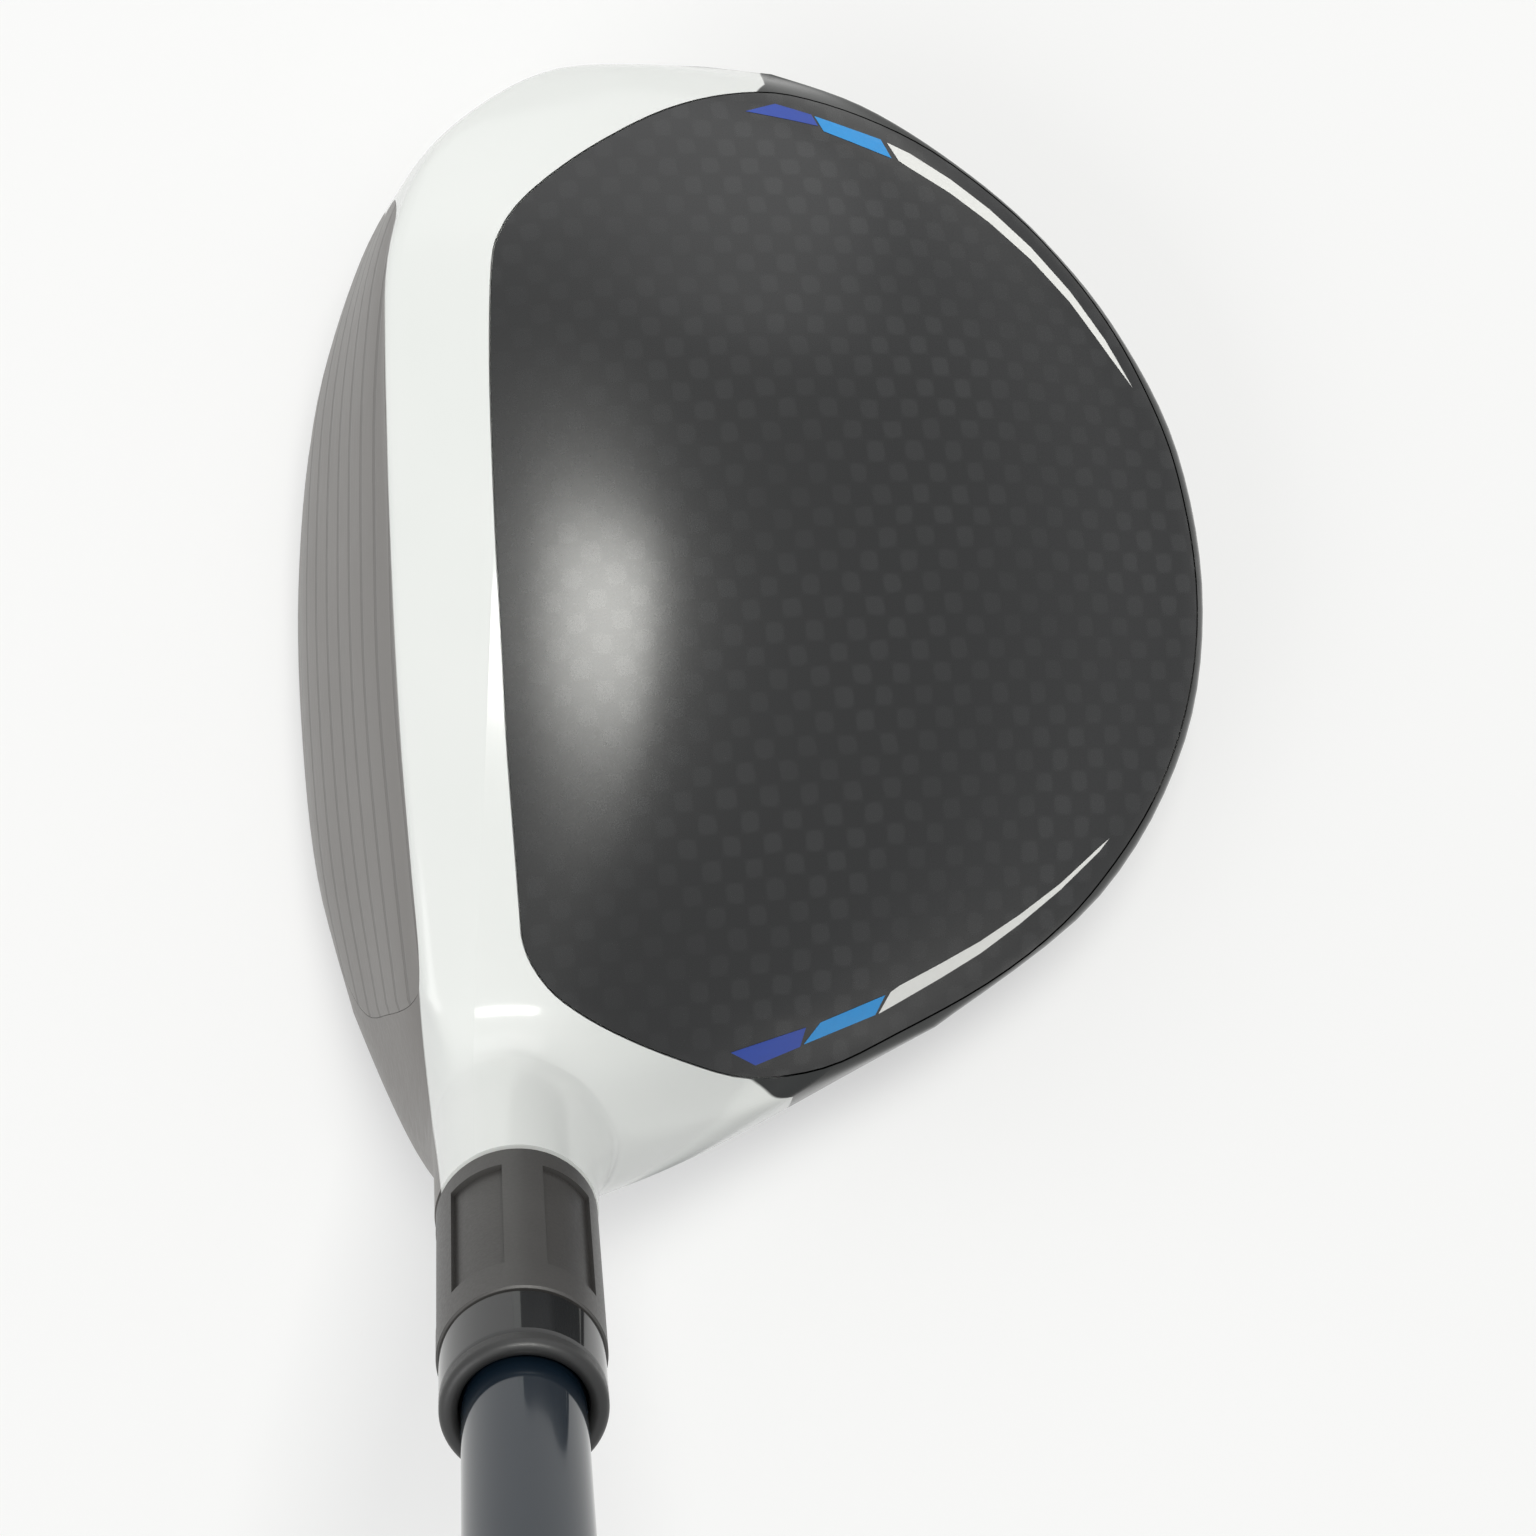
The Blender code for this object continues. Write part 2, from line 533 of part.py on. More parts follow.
screw = turned("sleeve_screw", [(0.0, HEAD_START + SOCKET_DEPTH), (SOCKET_RADIUS, HEAD_START + SOCKET_DEPTH),
                                (SOCKET_RADIUS, HEAD_START), (SCREW_HEAD_RADIUS - BREAK, HEAD_START),
                                (SCREW_HEAD_RADIUS, HEAD_START + BREAK), (SCREW_HEAD_RADIUS, HEAD_END),
                                (SCREW_RADIUS, HEAD_END), (SCREW_RADIUS, SCREW_END - 2 * BREAK),
                                (SCREW_RADIUS - 2 * BREAK, SCREW_END), (0.0, SCREW_END)])
lobes = axis_boxes("socket_lobes", 6, (2 * LOBE_DEPTH, LOBE_WIDTH, SOCKET_DEPTH + GAP),
                   HEAD_START + 0.5 * (SOCKET_DEPTH - GAP) - FIT, SOCKET_RADIUS)
cut(screw, lobes)
paint(screw, (0.45, 0.45, 0.46), 1.0, 0.3)

washer = turned("screw_washer", [(SCREW_HOLE, WASHER_START), (PORT_RADIUS - GAP, WASHER_START),
                                 (PORT_RADIUS - GAP, WASHER_END), (SCREW_HOLE, WASHER_END)])
paint(washer, (0.5, 0.5, 0.5), 1.0, 0.35)

ring = turned("screw_retainer", [(RING_HOLE, RING_START), (RING_RADIUS, RING_START), (RING_RADIUS, RING_END),
                                 (RING_HOLE, RING_END)])
ring_split = axis_boxes("ring_split", 1, (2 * RING_HOLE, RING_HOLE / 2, 3 * RING_THICK), 0.5 * (RING_START + RING_END),
                        RING_RADIUS, math.radians(90))
cut(ring, ring_split)
paint(ring, (0.35, 0.35, 0.36), 1.0, 0.35)


# Shaft and grip
def shaft_radius(s):
    if s <= SLEEVE_TOP - GAP:
        return SHAFT_TIP_RADIUS
    if s <= FERRULE_TOP:
        return SHAFT_TIP_RADIUS + SHAFT_SWELL * (s - SLEEVE_TOP + GAP) / (FERRULE_LENGTH + GAP)
    f = min(1.0, (s - FERRULE_TOP) / (BUTT_START - FERRULE_TOP))
    return SHAFT_FERRULE_RADIUS + (SHAFT_BUTT_RADIUS - SHAFT_FERRULE_RADIUS) * f


stops = [SHAFT_TIP, SLEEVE_TOP - GAP, FERRULE_TOP, GRIP_START, BUTT_START, SHAFT_END]
outside = [(shaft_radius(s), s) for s in stops]
inside = [(shaft_radius(s) - SHAFT_WALL, s) for s in reversed(stops)]
shaft = turned("shaft", outside + inside)
paint(shaft, (0.008, 0.01, 0.02), 0.0, 0.2)

tape_stops = [GRIP_START + TAPE_INSET, BUTT_START, SHAFT_END - GAP]
tape_low = [(shaft_radius(s) + TAPE_FIT, s) for s in reversed(tape_stops)]
tape = turned("grip_tape", [(shaft_radius(s) + TAPE_FIT + TAPE, s) for s in tape_stops] + tape_low)
paint(tape, (0.75, 0.72, 0.6), 0.0, 0.8)

grip_end = CLUB_LENGTH - 2 * GAP
core = 2 * TAPE_FIT + TAPE
hole = [(shaft_radius(s) + core, s) for s in (SHAFT_END + GAP, BUTT_START, GRIP_START)]
grip_mouth = shaft_radius(GRIP_START) + core + GRIP_MOUTH_WALL
grip_butt = SHAFT_BUTT_RADIUS + core + GRIP_BUTT_WALL
grip_cap = grip_butt + GRIP_CAP_FLARE
seat_low = SHAFT_END + CAP_FLANGE - GAP
grip = turned("grip", [(grip_mouth - 0.4 * GRIP_ROUND, GRIP_START), (grip_mouth, GRIP_START + GRIP_ROUND),
                       (grip_mouth + 0.35 * (grip_butt - grip_mouth), GRIP_START + GRIP_LENGTH / 3),
                       (grip_butt, grip_end - GRIP_LENGTH / 12), (grip_cap, grip_end - GRIP_LENGTH / 45),
                       (grip_cap, grip_end - GRIP_ROUND), (grip_cap - GRIP_ROUND, grip_end),
                       (CAP_RADIUS + GAP, grip_end), (CAP_RADIUS + GAP, seat_low), (hole[0][0], seat_low)] + hole)
paint(grip, (0.02, 0.02, 0.02), 0.0, 0.8)

plug = SHAFT_BUTT_RADIUS - SHAFT_WALL - GAP
flange = SHAFT_END + CAP_FLANGE
cap = turned("butt_cap", [(CAP_HOLE, SHAFT_END - PLUG_LENGTH), (plug - BREAK, SHAFT_END - PLUG_LENGTH),
                          (plug, SHAFT_END - PLUG_LENGTH + BREAK), (plug, flange), (CAP_RADIUS, flange),
                          (CAP_RADIUS, CLUB_LENGTH - BREAK), (CAP_RADIUS - BREAK, CLUB_LENGTH),
                          (CAP_HOLE, CLUB_LENGTH)])
paint(cap, (0.03, 0.03, 0.03), 0.0, 0.5)
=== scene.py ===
import bpy
import bmesh
import math
import numpy as np
from mathutils import Matrix, Vector


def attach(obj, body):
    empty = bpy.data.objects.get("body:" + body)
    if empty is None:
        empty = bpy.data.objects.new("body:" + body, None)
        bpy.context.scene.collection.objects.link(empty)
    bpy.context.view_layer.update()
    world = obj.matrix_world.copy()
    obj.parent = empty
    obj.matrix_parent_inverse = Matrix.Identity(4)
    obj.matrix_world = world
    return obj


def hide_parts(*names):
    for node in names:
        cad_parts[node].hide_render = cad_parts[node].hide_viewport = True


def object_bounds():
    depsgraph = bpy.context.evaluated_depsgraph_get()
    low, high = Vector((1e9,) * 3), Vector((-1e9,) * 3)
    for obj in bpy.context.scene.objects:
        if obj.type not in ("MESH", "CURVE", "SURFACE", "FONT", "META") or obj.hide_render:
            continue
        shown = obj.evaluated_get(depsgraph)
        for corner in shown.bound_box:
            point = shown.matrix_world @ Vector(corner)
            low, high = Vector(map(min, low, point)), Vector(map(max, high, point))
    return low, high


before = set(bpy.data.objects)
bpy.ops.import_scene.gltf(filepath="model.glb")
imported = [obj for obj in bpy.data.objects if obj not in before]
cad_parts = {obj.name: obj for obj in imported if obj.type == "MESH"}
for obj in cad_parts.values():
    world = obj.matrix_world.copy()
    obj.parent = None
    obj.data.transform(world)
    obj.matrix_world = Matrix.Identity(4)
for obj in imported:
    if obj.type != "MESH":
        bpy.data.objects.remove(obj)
cad_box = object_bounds()

MM = 0.001
WELD = 1e-7
SHARP = math.radians(32)

# Head skin, the same stations as the solid model
LIE = math.radians(58.0)
AXIS_X = -20.0
AXIS_Y = -25.0
STATION_Y = (-35.9, -24.0, -10.0, 4.0, 18.0, 29.0, 37.5, 43.6, 48.3, 50.9)
LEAD_X = (-33.6, -37.2, -39.2, -40.1, -39.6, -37.1, -33.5, -28.0, -20.5, -10.0)
TOPLINE_X = (-28.2, -29.6, -31.2, -32.3, -33.3, -33.2, -30.6, -25.8, -19.2, -10.0)
BACK_X = (18.0, 32.6, 40.6, 42.5, 39.8, 33.7, 26.1, 18.0, 9.2, 0.0)
SOLE_Z = (3.4, 1.4, 0.8, 0.8, 1.6, 3.2, 5.4, 8.2, 12.2, 18.0)
TOPLINE_Z = (33.5, 34.5, 35.0, 34.6, 33.2, 31.0, 28.6, 26.2, 23.2, 18.0)
CROWN_Z = (35.6, 37.6, 38.6, 38.4, 36.6, 33.8, 30.8, 27.9, 24.2, 18.0)
BACK_Z = (17.0, 15.5, 14.5, 14.5, 15.0, 15.8, 16.4, 17.0, 17.6, 18.0)
TOE_TIP = (-5.5, 51.0, 18.0)
HEAD_ROWS = 52
ROWS_FROM = 0.985
HEEL_PULL = 4
FAN_ROWS = 20
NECK_ROWS = 6
SPAN_STEPS = 8
KEYS = 12
NECK_KEY_START = 210.0
NOSE_RISE = 5.2
NOSE_BACK = 3.6
NOSE_LIFT = 1.2
FACE_ROLL = 0.5
EDGE_DROP = 1.8
EDGE_BACK = 2.4
EDGE_FRONT = 0.4
EDGE_LIFT = 0.5
FULL_RISE = 12.0
NECK_RADIUS = 6.5
NECK_FILLET = 6.0
NECK_TOP = 54.0
PIVOT_Z = 41.0
FAN_EASE = ((2.3, 1.5), (2.3, 1.3), (2.1, 1.0), (1.7, 1.0), (1.5, 1.0), (1.6, 1.0),
            (1.75, 1.1), (1.8, 1.3), (1.8, 1.4), (1.8, 1.5), (1.9, 1.5), (2.3, 1.5))

# Key points of a section: shares of its width, and of its drop behind the crown or its rise from the sole
EDGE_SHARE = 0.2
EDGE_CLIMB = 0.25
CROWN_PEAK = 0.30
CROWN_SLOPE = (0.64, 0.71)
CROWN_RIM = (0.915, 0.22)
SKIRT_TUCK = (0.93, 0.45)
SOLE_BACK = (0.66, 0.13)
SOLE_MIDDLE = 0.32
NOSE_SHARE = 0.25

# Panels and their seats
GAP = 0.3
FACE_GAP = 0.04
CROWN_GAP = 0.16
PANEL = 1.1
SEAT = PANEL + GAP
REACH = 60.0
CROWN_FLOOR_Z = 15.3
CROWN_SPREAD = 0.9
CROWN_SPREAD_X = (4.0, 26.0)
SOLE_SEAT_Z = 11.0
CROWN_EDGE = (
    (-20.2, -28.5), (-19.8, -31.2), (-18.6, -33.6), (-16.3, -35.9), (-12.0, -38.2), (-6.0, -40.2),
    (0.5, -41.3), (7.3, -39.9), (13.9, -36.3), (22.0, -31.2), (28.6, -25.6), (33.2, -20.0),
    (36.6, -14.5), (38.8, -9.1), (40.1, -3.7), (40.6, 1.6), (40.3, 7.0), (39.3, 12.3),
    (37.8, 17.5), (35.4, 22.7), (32.3, 28.0), (28.1, 33.3), (22.8, 38.5), (15.6, 43.7),
    (9.0, 46.4), (2.0, 47.4), (-3.8, 46.2), (-9.5, 43.6), (-15.2, 39.6), (-19.2, 36.2),
    (-22.2, 33.0), (-23.8, 30.2), (-24.5, 27.0), (-24.4, 18.0), (-23.8, 8.0), (-23.0, -2.0),
    (-21.9, -14.0), (-20.8, -23.5),
)
FACE_EDGE = (
    (-36.2, 15.0), (-36.8, 23.0), (-36.2, 31.0), (-33.6, 33.5), (-24.0, 34.5), (-10.0, 35.0),
    (4.0, 34.6), (18.0, 33.2), (27.0, 31.2), (32.5, 28.4), (35.0, 23.0), (33.6, 15.6),
    (28.0, 9.4), (18.0, 6.6), (4.0, 5.6), (-10.0, 5.6), (-22.0, 6.2), (-31.0, 8.6),
)
SOLE_CENTRE = (9.0, 6.0)
SOLE_HALF = (25.0, 26.0)
SOLE_POWER = 2.6
SOLE_STEPS = 120
KEEL_EDGE = ((-13.0, -4.6), (-11.0, -6.2), (10.0, -6.2), (17.0, 0.0), (10.0, 6.2), (-11.0, 6.2),
             (-13.0, 4.6))
KEEL_FLARE = 2.0
KEEL_TOP = 5.0
SLOT_X = -27.0
SLOT_Y = (-16.0, 30.0)
SLOT_WIDTH = 3.4
SLOT_STEPS = 24
CROWN_STEPS = 4
FACE_STEPS = 8

# Stripes on the crown, in plan
STRIPE_PROUD = 0.03
STRIPE_SINK = 0.25
STRIPES = {
    "stripe_toe_dark": ((-2.3, 44.6), (0.5, 46.0), (3.9, 45.5), (4.5, 44.3)),
    "stripe_toe_light": ((4.2, 45.4), (10.6, 44.3), (11.5, 42.3), (5.0, 43.8)),
    "stripe_toe_white": ((11.2, 44.1), (13.4, 43.4), (17.3, 41.4), (21.1, 38.9), (25.0, 35.7), (28.8, 31.8),
                         (32.2, 27.5), (34.9, 23.2), (32.6, 25.9), (28.7, 30.7), (24.9, 34.4), (21.0, 37.4),
                         (17.1, 39.8), (13.3, 41.6), (12.2, 42.2)),
    "stripe_heel_dark": ((-1.6, -39.4), (0.8, -40.3), (4.8, -38.5), (5.1, -36.9)),
    "stripe_heel_light": ((5.1, -38.3), (6.4, -36.4), (12.3, -33.7), (11.6, -35.4)),
    "stripe_heel_white": ((11.9, -35.3), (13.9, -34.1), (17.5, -31.9), (21.2, -29.5), (24.8, -26.7),
                          (28.5, -23.5), (32.3, -19.7), (33.2, -18.5), (32.3, -19.3), (28.5, -22.9),
                          (24.7, -25.9), (21.0, -28.5), (17.3, -30.7), (13.6, -32.8), (12.8, -33.4)),
}

# Round pieces up the shaft line: radii and distances from the ground
STEPS = 96
SUPPORT = 0.15
LONG_FACE = 4 * SUPPORT
FIT = 0.2
BREAK = 0.4
SHAFT_TIP_RADIUS = 4.25
SHAFT_FERRULE_RADIUS = 4.6
SHAFT_BUTT_RADIUS = 7.6
SHAFT_WALL = 1.2
TIP_BORE = 4.45
BARREL_RADIUS = 5.05
BORE_RADIUS = 5.25
SPLINES = 12
SPLINE_RADIUS = 5.65
SPLINE_SLOT_RADIUS = 5.85
SPLINE_LENGTH = 7.0
SPLINE_WIDTH = 1.2
COLLAR_RADIUS = 6.4
FERRULE_RADIUS = 6.2
FERRULE_STEP = 0.08
RIM_STEPS = 18
SCREW_RADIUS = 2.45
THREAD_RADIUS = 2.65
SCREW_HOLE = 2.85
SCREW_HEAD_RADIUS = 4.0
PORT_RADIUS = 4.6
RING_RADIUS = 5.1
SOCKET_RADIUS = 2.4
SOCKET_DEPTH = 2.8
LOBES = 6
LOBE_DEPTH = 0.8
LOBE_WIDTH = 1.1
PORT_LOW = -10.0
RING_START = 6.7
RING_END = 7.7
HEAD_START = 8.3
HEAD_END = 12.7
PORT_SEAT = 14.3
BORE_FLOOR = 16.8
SLEEVE_BASE = 17.1
SCREW_END = 28.8
TIP_FLOOR = 32.4
SHAFT_TIP = 32.7
SLEEVE_TOP = 74.0
FERRULE_START = 74.3
FERRULE_TOP = 81.0
WINDOWS = 5
WINDOW_WIDTH = 4.7
WINDOW_LENGTH = 14.0
WINDOW_DEPTH = 0.45
WINDOW_TURN = math.radians(54)
WINDOW_MIDDLE = 63.6
CLUB_LENGTH = 1098.0
SHAFT_END = 1092.0
BUTT_START = 1000.0
GRIP_START = 828.0
GRIP_WAIST = (0.35, 90.0)
GRIP_FLARE = 22.5
GRIP_CAP_BAND = 6.0
CORE = 0.55
GRIP_MOUTH_WALL = 1.8
GRIP_BUTT_WALL = 5.0
GRIP_CAP_FLARE = 2.2
GRIP_ROUND = 1.8
GRIP_MOUTH_STEP = 0.72
GRIP_CORNER = 2.6
GRIP_CORNER_STEPS = 6
CAP_RADIUS = 11.0
CAP_HOLE = 1.2
CAP_FLANGE = 2.6
PLUG_LENGTH = 6.0

SHAFT_DIR = Vector((0.0, -math.cos(LIE), math.sin(LIE)))
LEAN = math.pi / 2 - LIE
PIVOT_Y = AXIS_Y + (NECK_RADIUS + NECK_FILLET - PIVOT_Z * math.cos(LIE)) / math.sin(LIE)
NECK_START = (PIVOT_Y - AXIS_Y) * -math.cos(LIE) + PIVOT_Z * math.sin(LIE)
ON_AXIS = Matrix.Translation(Vector((AXIS_X, AXIS_Y, 0.0)) * MM) @ Matrix.Rotation(LEAN, 4, "X")
BOX_CORNERS = ((0, 0, 0), (1, 0, 0), (1, 1, 0), (0, 1, 0), (0, 0, 1), (1, 0, 1), (1, 1, 1), (0, 1, 1))
BOX_FACES = ((0, 3, 2, 1), (4, 5, 6, 7), (0, 1, 5, 4), (1, 2, 6, 5), (2, 3, 7, 6), (3, 0, 4, 7))


def mesh_object(name, verts, faces):
    mesh = bpy.data.meshes.new(name)
    mesh.from_pydata([Vector(v) * MM for v in verts], [], faces)
    bm = bmesh.new()
    bm.from_mesh(mesh)
    bmesh.ops.remove_doubles(bm, verts=bm.verts, dist=WELD)
    bmesh.ops.recalc_face_normals(bm, faces=bm.faces)
    if bm.calc_volume(signed=True) < 0:
        bmesh.ops.reverse_faces(bm, faces=bm.faces)
    bm.to_mesh(mesh)
    bm.free()
    obj = bpy.data.objects.new(name, mesh)
    bpy.context.scene.collection.objects.link(obj)
    return obj


def carve(target, tool, operation="DIFFERENCE"):
    mod = target.modifiers.new("carve", "BOOLEAN")
    mod.operation = operation
    mod.solver = "EXACT"
    mod.object = tool
    graph = bpy.context.evaluated_depsgraph_get()
    mesh = bpy.data.meshes.new_from_object(target.evaluated_get(graph))
    target.modifiers.clear()
    old = target.data
    target.data = mesh
    bpy.data.meshes.remove(old)
    bpy.data.objects.remove(tool, do_unlink=True)


def dress(obj, body, mat, nodes=()):
    mesh = obj.data
    mesh.materials.clear()
    mesh.materials.append(mat)
    mesh.shade_smooth()
    mesh.set_sharp_from_angle(angle=SHARP)
    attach(obj, body)
    if nodes:
        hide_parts(*nodes)


def cubic(a, b, c, d, t):
    return 0.5 * (2 * b + (c - a) * t + (2 * a - 5 * b + 4 * c - d) * t * t
                  + (3 * b - a - 3 * c + d) * t ** 3)


def smooth_loop(points, steps):
    pts = np.array(points, dtype=float)
    n = len(pts)
    return np.array([cubic(pts[i - 1], pts[i], pts[(i + 1) % n], pts[(i + 2) % n], k / steps)
                     for i in range(n) for k in range(steps)])


def inset_loop(points, amount):
    pts = np.array(points, dtype=float)
    ahead = np.roll(pts, -1, axis=0) - np.roll(pts, 1, axis=0)
    ahead /= np.linalg.norm(ahead, axis=1)[:, None]
    left = np.stack([-ahead[:, 1], ahead[:, 0]], axis=1)
    area = np.sum(pts[:, 0] * np.roll(pts[:, 1], -1) - np.roll(pts[:, 0], -1) * pts[:, 1])
    return pts + left * amount * (1.0 if area > 0 else -1.0)


def bridge(name, low, high):
    n = len(low)
    faces = [tuple(range(n)), tuple(range(n, 2 * n))]
    faces += [(i, (i + 1) % n, n + (i + 1) % n, n + i) for i in range(n)]
    return mesh_object(name, low + high, faces)


def prism(name, loop, low, high, along="Z"):
    rings = [[(a, b, level) if along == "Z" else (level, a, b) for a, b in loop] for level in (low, high)]
    return bridge(name, *rings)


def place_on_axis(obj):
    obj.data.transform(ON_AXIS)
    return obj


# Extra rings beside the ends of long faces keep the smooth shading flat there
def supported(profile):
    out = []
    for (r, s), (q, t) in zip(profile, profile[1:] + profile[:1]):
        out.append((r, s))
        length = math.hypot(q - r, t - s)
        if length > LONG_FACE and r + q > 0.0:
            for f in (SUPPORT / length, 1 - SUPPORT / length):
                out.append((r + (q - r) * f, s + (t - s) * f))
    return out


def turned(name, profile):
    profile = supported(profile)
    verts = []
    faces = []
    n = len(profile)
    for k in range(STEPS):
        a = 2 * math.pi * k / STEPS
        verts += [(r * math.cos(a), r * math.sin(a), s) for r, s in profile]
        m = (k + 1) % STEPS
        for i in range(n):
            j = (i + 1) % n
            if profile[i][0] > 0.0 or profile[j][0] > 0.0:
                faces.append((k * n + i, k * n + j, m * n + j, m * n + i))
    return place_on_axis(mesh_object(name, verts, faces))


def axis_boxes(name, count, size, middle, radius, turn=0.0):
    verts = []
    faces = []
    for k in range(count):
        a = 2 * math.pi * k / count + turn
        out = Vector((math.cos(a), math.sin(a), 0.0))
        side = Vector((-math.sin(a), math.cos(a), 0.0))
        base = len(verts)
        for x, y, z in BOX_CORNERS:
            p = out * (radius + (x - 0.5) * size[0]) + side * (y - 0.5) * size[1]
            verts.append((p.x, p.y, middle + (z - 0.5) * size[2]))
        faces += [tuple(base + i for i in f) for f in BOX_FACES]
    return place_on_axis(mesh_object(name, verts, faces))


def ease(values, t):
    pts = np.array(values, dtype=float)
    last = len(pts) - 1
    i = min(int(t * last), last - 1)
    return cubic(pts[max(i - 1, 0)], pts[i], pts[i + 1], pts[min(i + 2, last)], t * last - i)


def head_keys(lead, top, back, sole, line, crown, rear):
    width = back - top
    drop = crown - rear
    rise = rear - sole
    full = min(1.0, rise / FULL_RISE)
    nose = NOSE_RISE * full
    return np.array((
        (lead, sole + nose),
        (0.5 * (lead + top) - FACE_ROLL * full, 0.5 * (sole + nose + line)),
        (top - EDGE_FRONT * full, line - EDGE_DROP * full),
        (top + min(EDGE_BACK, EDGE_SHARE * width), line + EDGE_CLIMB * (crown - line) + EDGE_LIFT * full),
        (top + CROWN_PEAK * width, crown),
        (top + CROWN_SLOPE[0] * width, rear + CROWN_SLOPE[1] * drop),
        (top + CROWN_RIM[0] * width, rear + CROWN_RIM[1] * drop),
        (back, rear),
        (top + SKIRT_TUCK[0] * width, sole + SKIRT_TUCK[1] * rise),
        (top + SOLE_BACK[0] * width, sole + SOLE_BACK[1] * rise),
        (top + SOLE_MIDDLE * width, sole),
        (lead + min(NOSE_BACK, NOSE_SHARE * width), sole + NOSE_LIFT * full),
    ))


def neck_keys():
    angles = [math.radians(NECK_KEY_START - 360 / KEYS * k) for k in range(KEYS)]
    middle = NECK_FILLET + NECK_RADIUS
    return np.array([(AXIS_X + NECK_RADIUS * math.cos(a), middle - NECK_RADIUS * math.sin(a))
                     for a in angles])


def skin_rows():
    tables = (LEAD_X, TOPLINE_X, BACK_X, SOLE_Z, TOPLINE_Z, CROWN_Z, BACK_Z)
    rows = []
    for k in range(HEAD_ROWS):
        t = ROWS_FROM * (1 - k / (HEAD_ROWS - 1))
        keys = head_keys(*[ease(v, t) for v in tables])
        y = ease(STATION_Y, t) + (PIVOT_Y - STATION_Y[0]) * (1 - t) ** HEEL_PULL
        rows.append([(x, y, z) for x, z in smooth_loop(keys, SPAN_STEPS)])
    first = head_keys(*[v[0] for v in tables])
    start = np.stack([first[:, 0], PIVOT_Z - first[:, 1]], axis=1)
    end = neck_keys()
    swing = math.pi / 2 - LEAN
    total = FAN_ROWS + NECK_ROWS
    for k in range(1, total + 1):
        f = k / total
        w = np.array([[1 - (1 - f) ** p, 1 - (1 - f) ** q] for p, q in FAN_EASE])
        a = swing * min(1.0, k / FAN_ROWS)
        up = (NECK_TOP - NECK_START) * max(0.0, (k - FAN_ROWS) / NECK_ROWS)
        loop = smooth_loop(start * (1 - w) + end * w, SPAN_STEPS)
        rows.append([(x, PIVOT_Y - r * math.sin(a) + up * SHAFT_DIR.y,
                      PIVOT_Z - r * math.cos(a) + up * SHAFT_DIR.z) for x, r in loop])
    return rows


SKIN_ROWS = skin_rows()


def skin(name, shift=(0.0, 0.0, 0.0)):
    n = len(SKIN_ROWS[0])
    verts = [TOE_TIP]
    for row in SKIN_ROWS:
        verts += row
    verts = [tuple(c + s for c, s in zip(v, shift)) for v in verts]
    faces = [(0, 1 + i, 1 + (i + 1) % n) for i in range(n)]
    for r in range(len(SKIN_ROWS) - 1):
        a = 1 + r * n
        b = a + n
        faces += [(a + i, b + i, b + (i + 1) % n, a + (i + 1) % n) for i in range(n)]
    end = 1 + (len(SKIN_ROWS) - 1) * n
    faces.append(tuple(end + i for i in range(n)))
    return mesh_object(name, verts, faces)


# Node helpers for the materials. Noise takes a scale, a detail and a roughness
NOISE_RANGE = (0.3, 0.7)


def tint(r, g, b):
    return (r, g, b, 1.0)


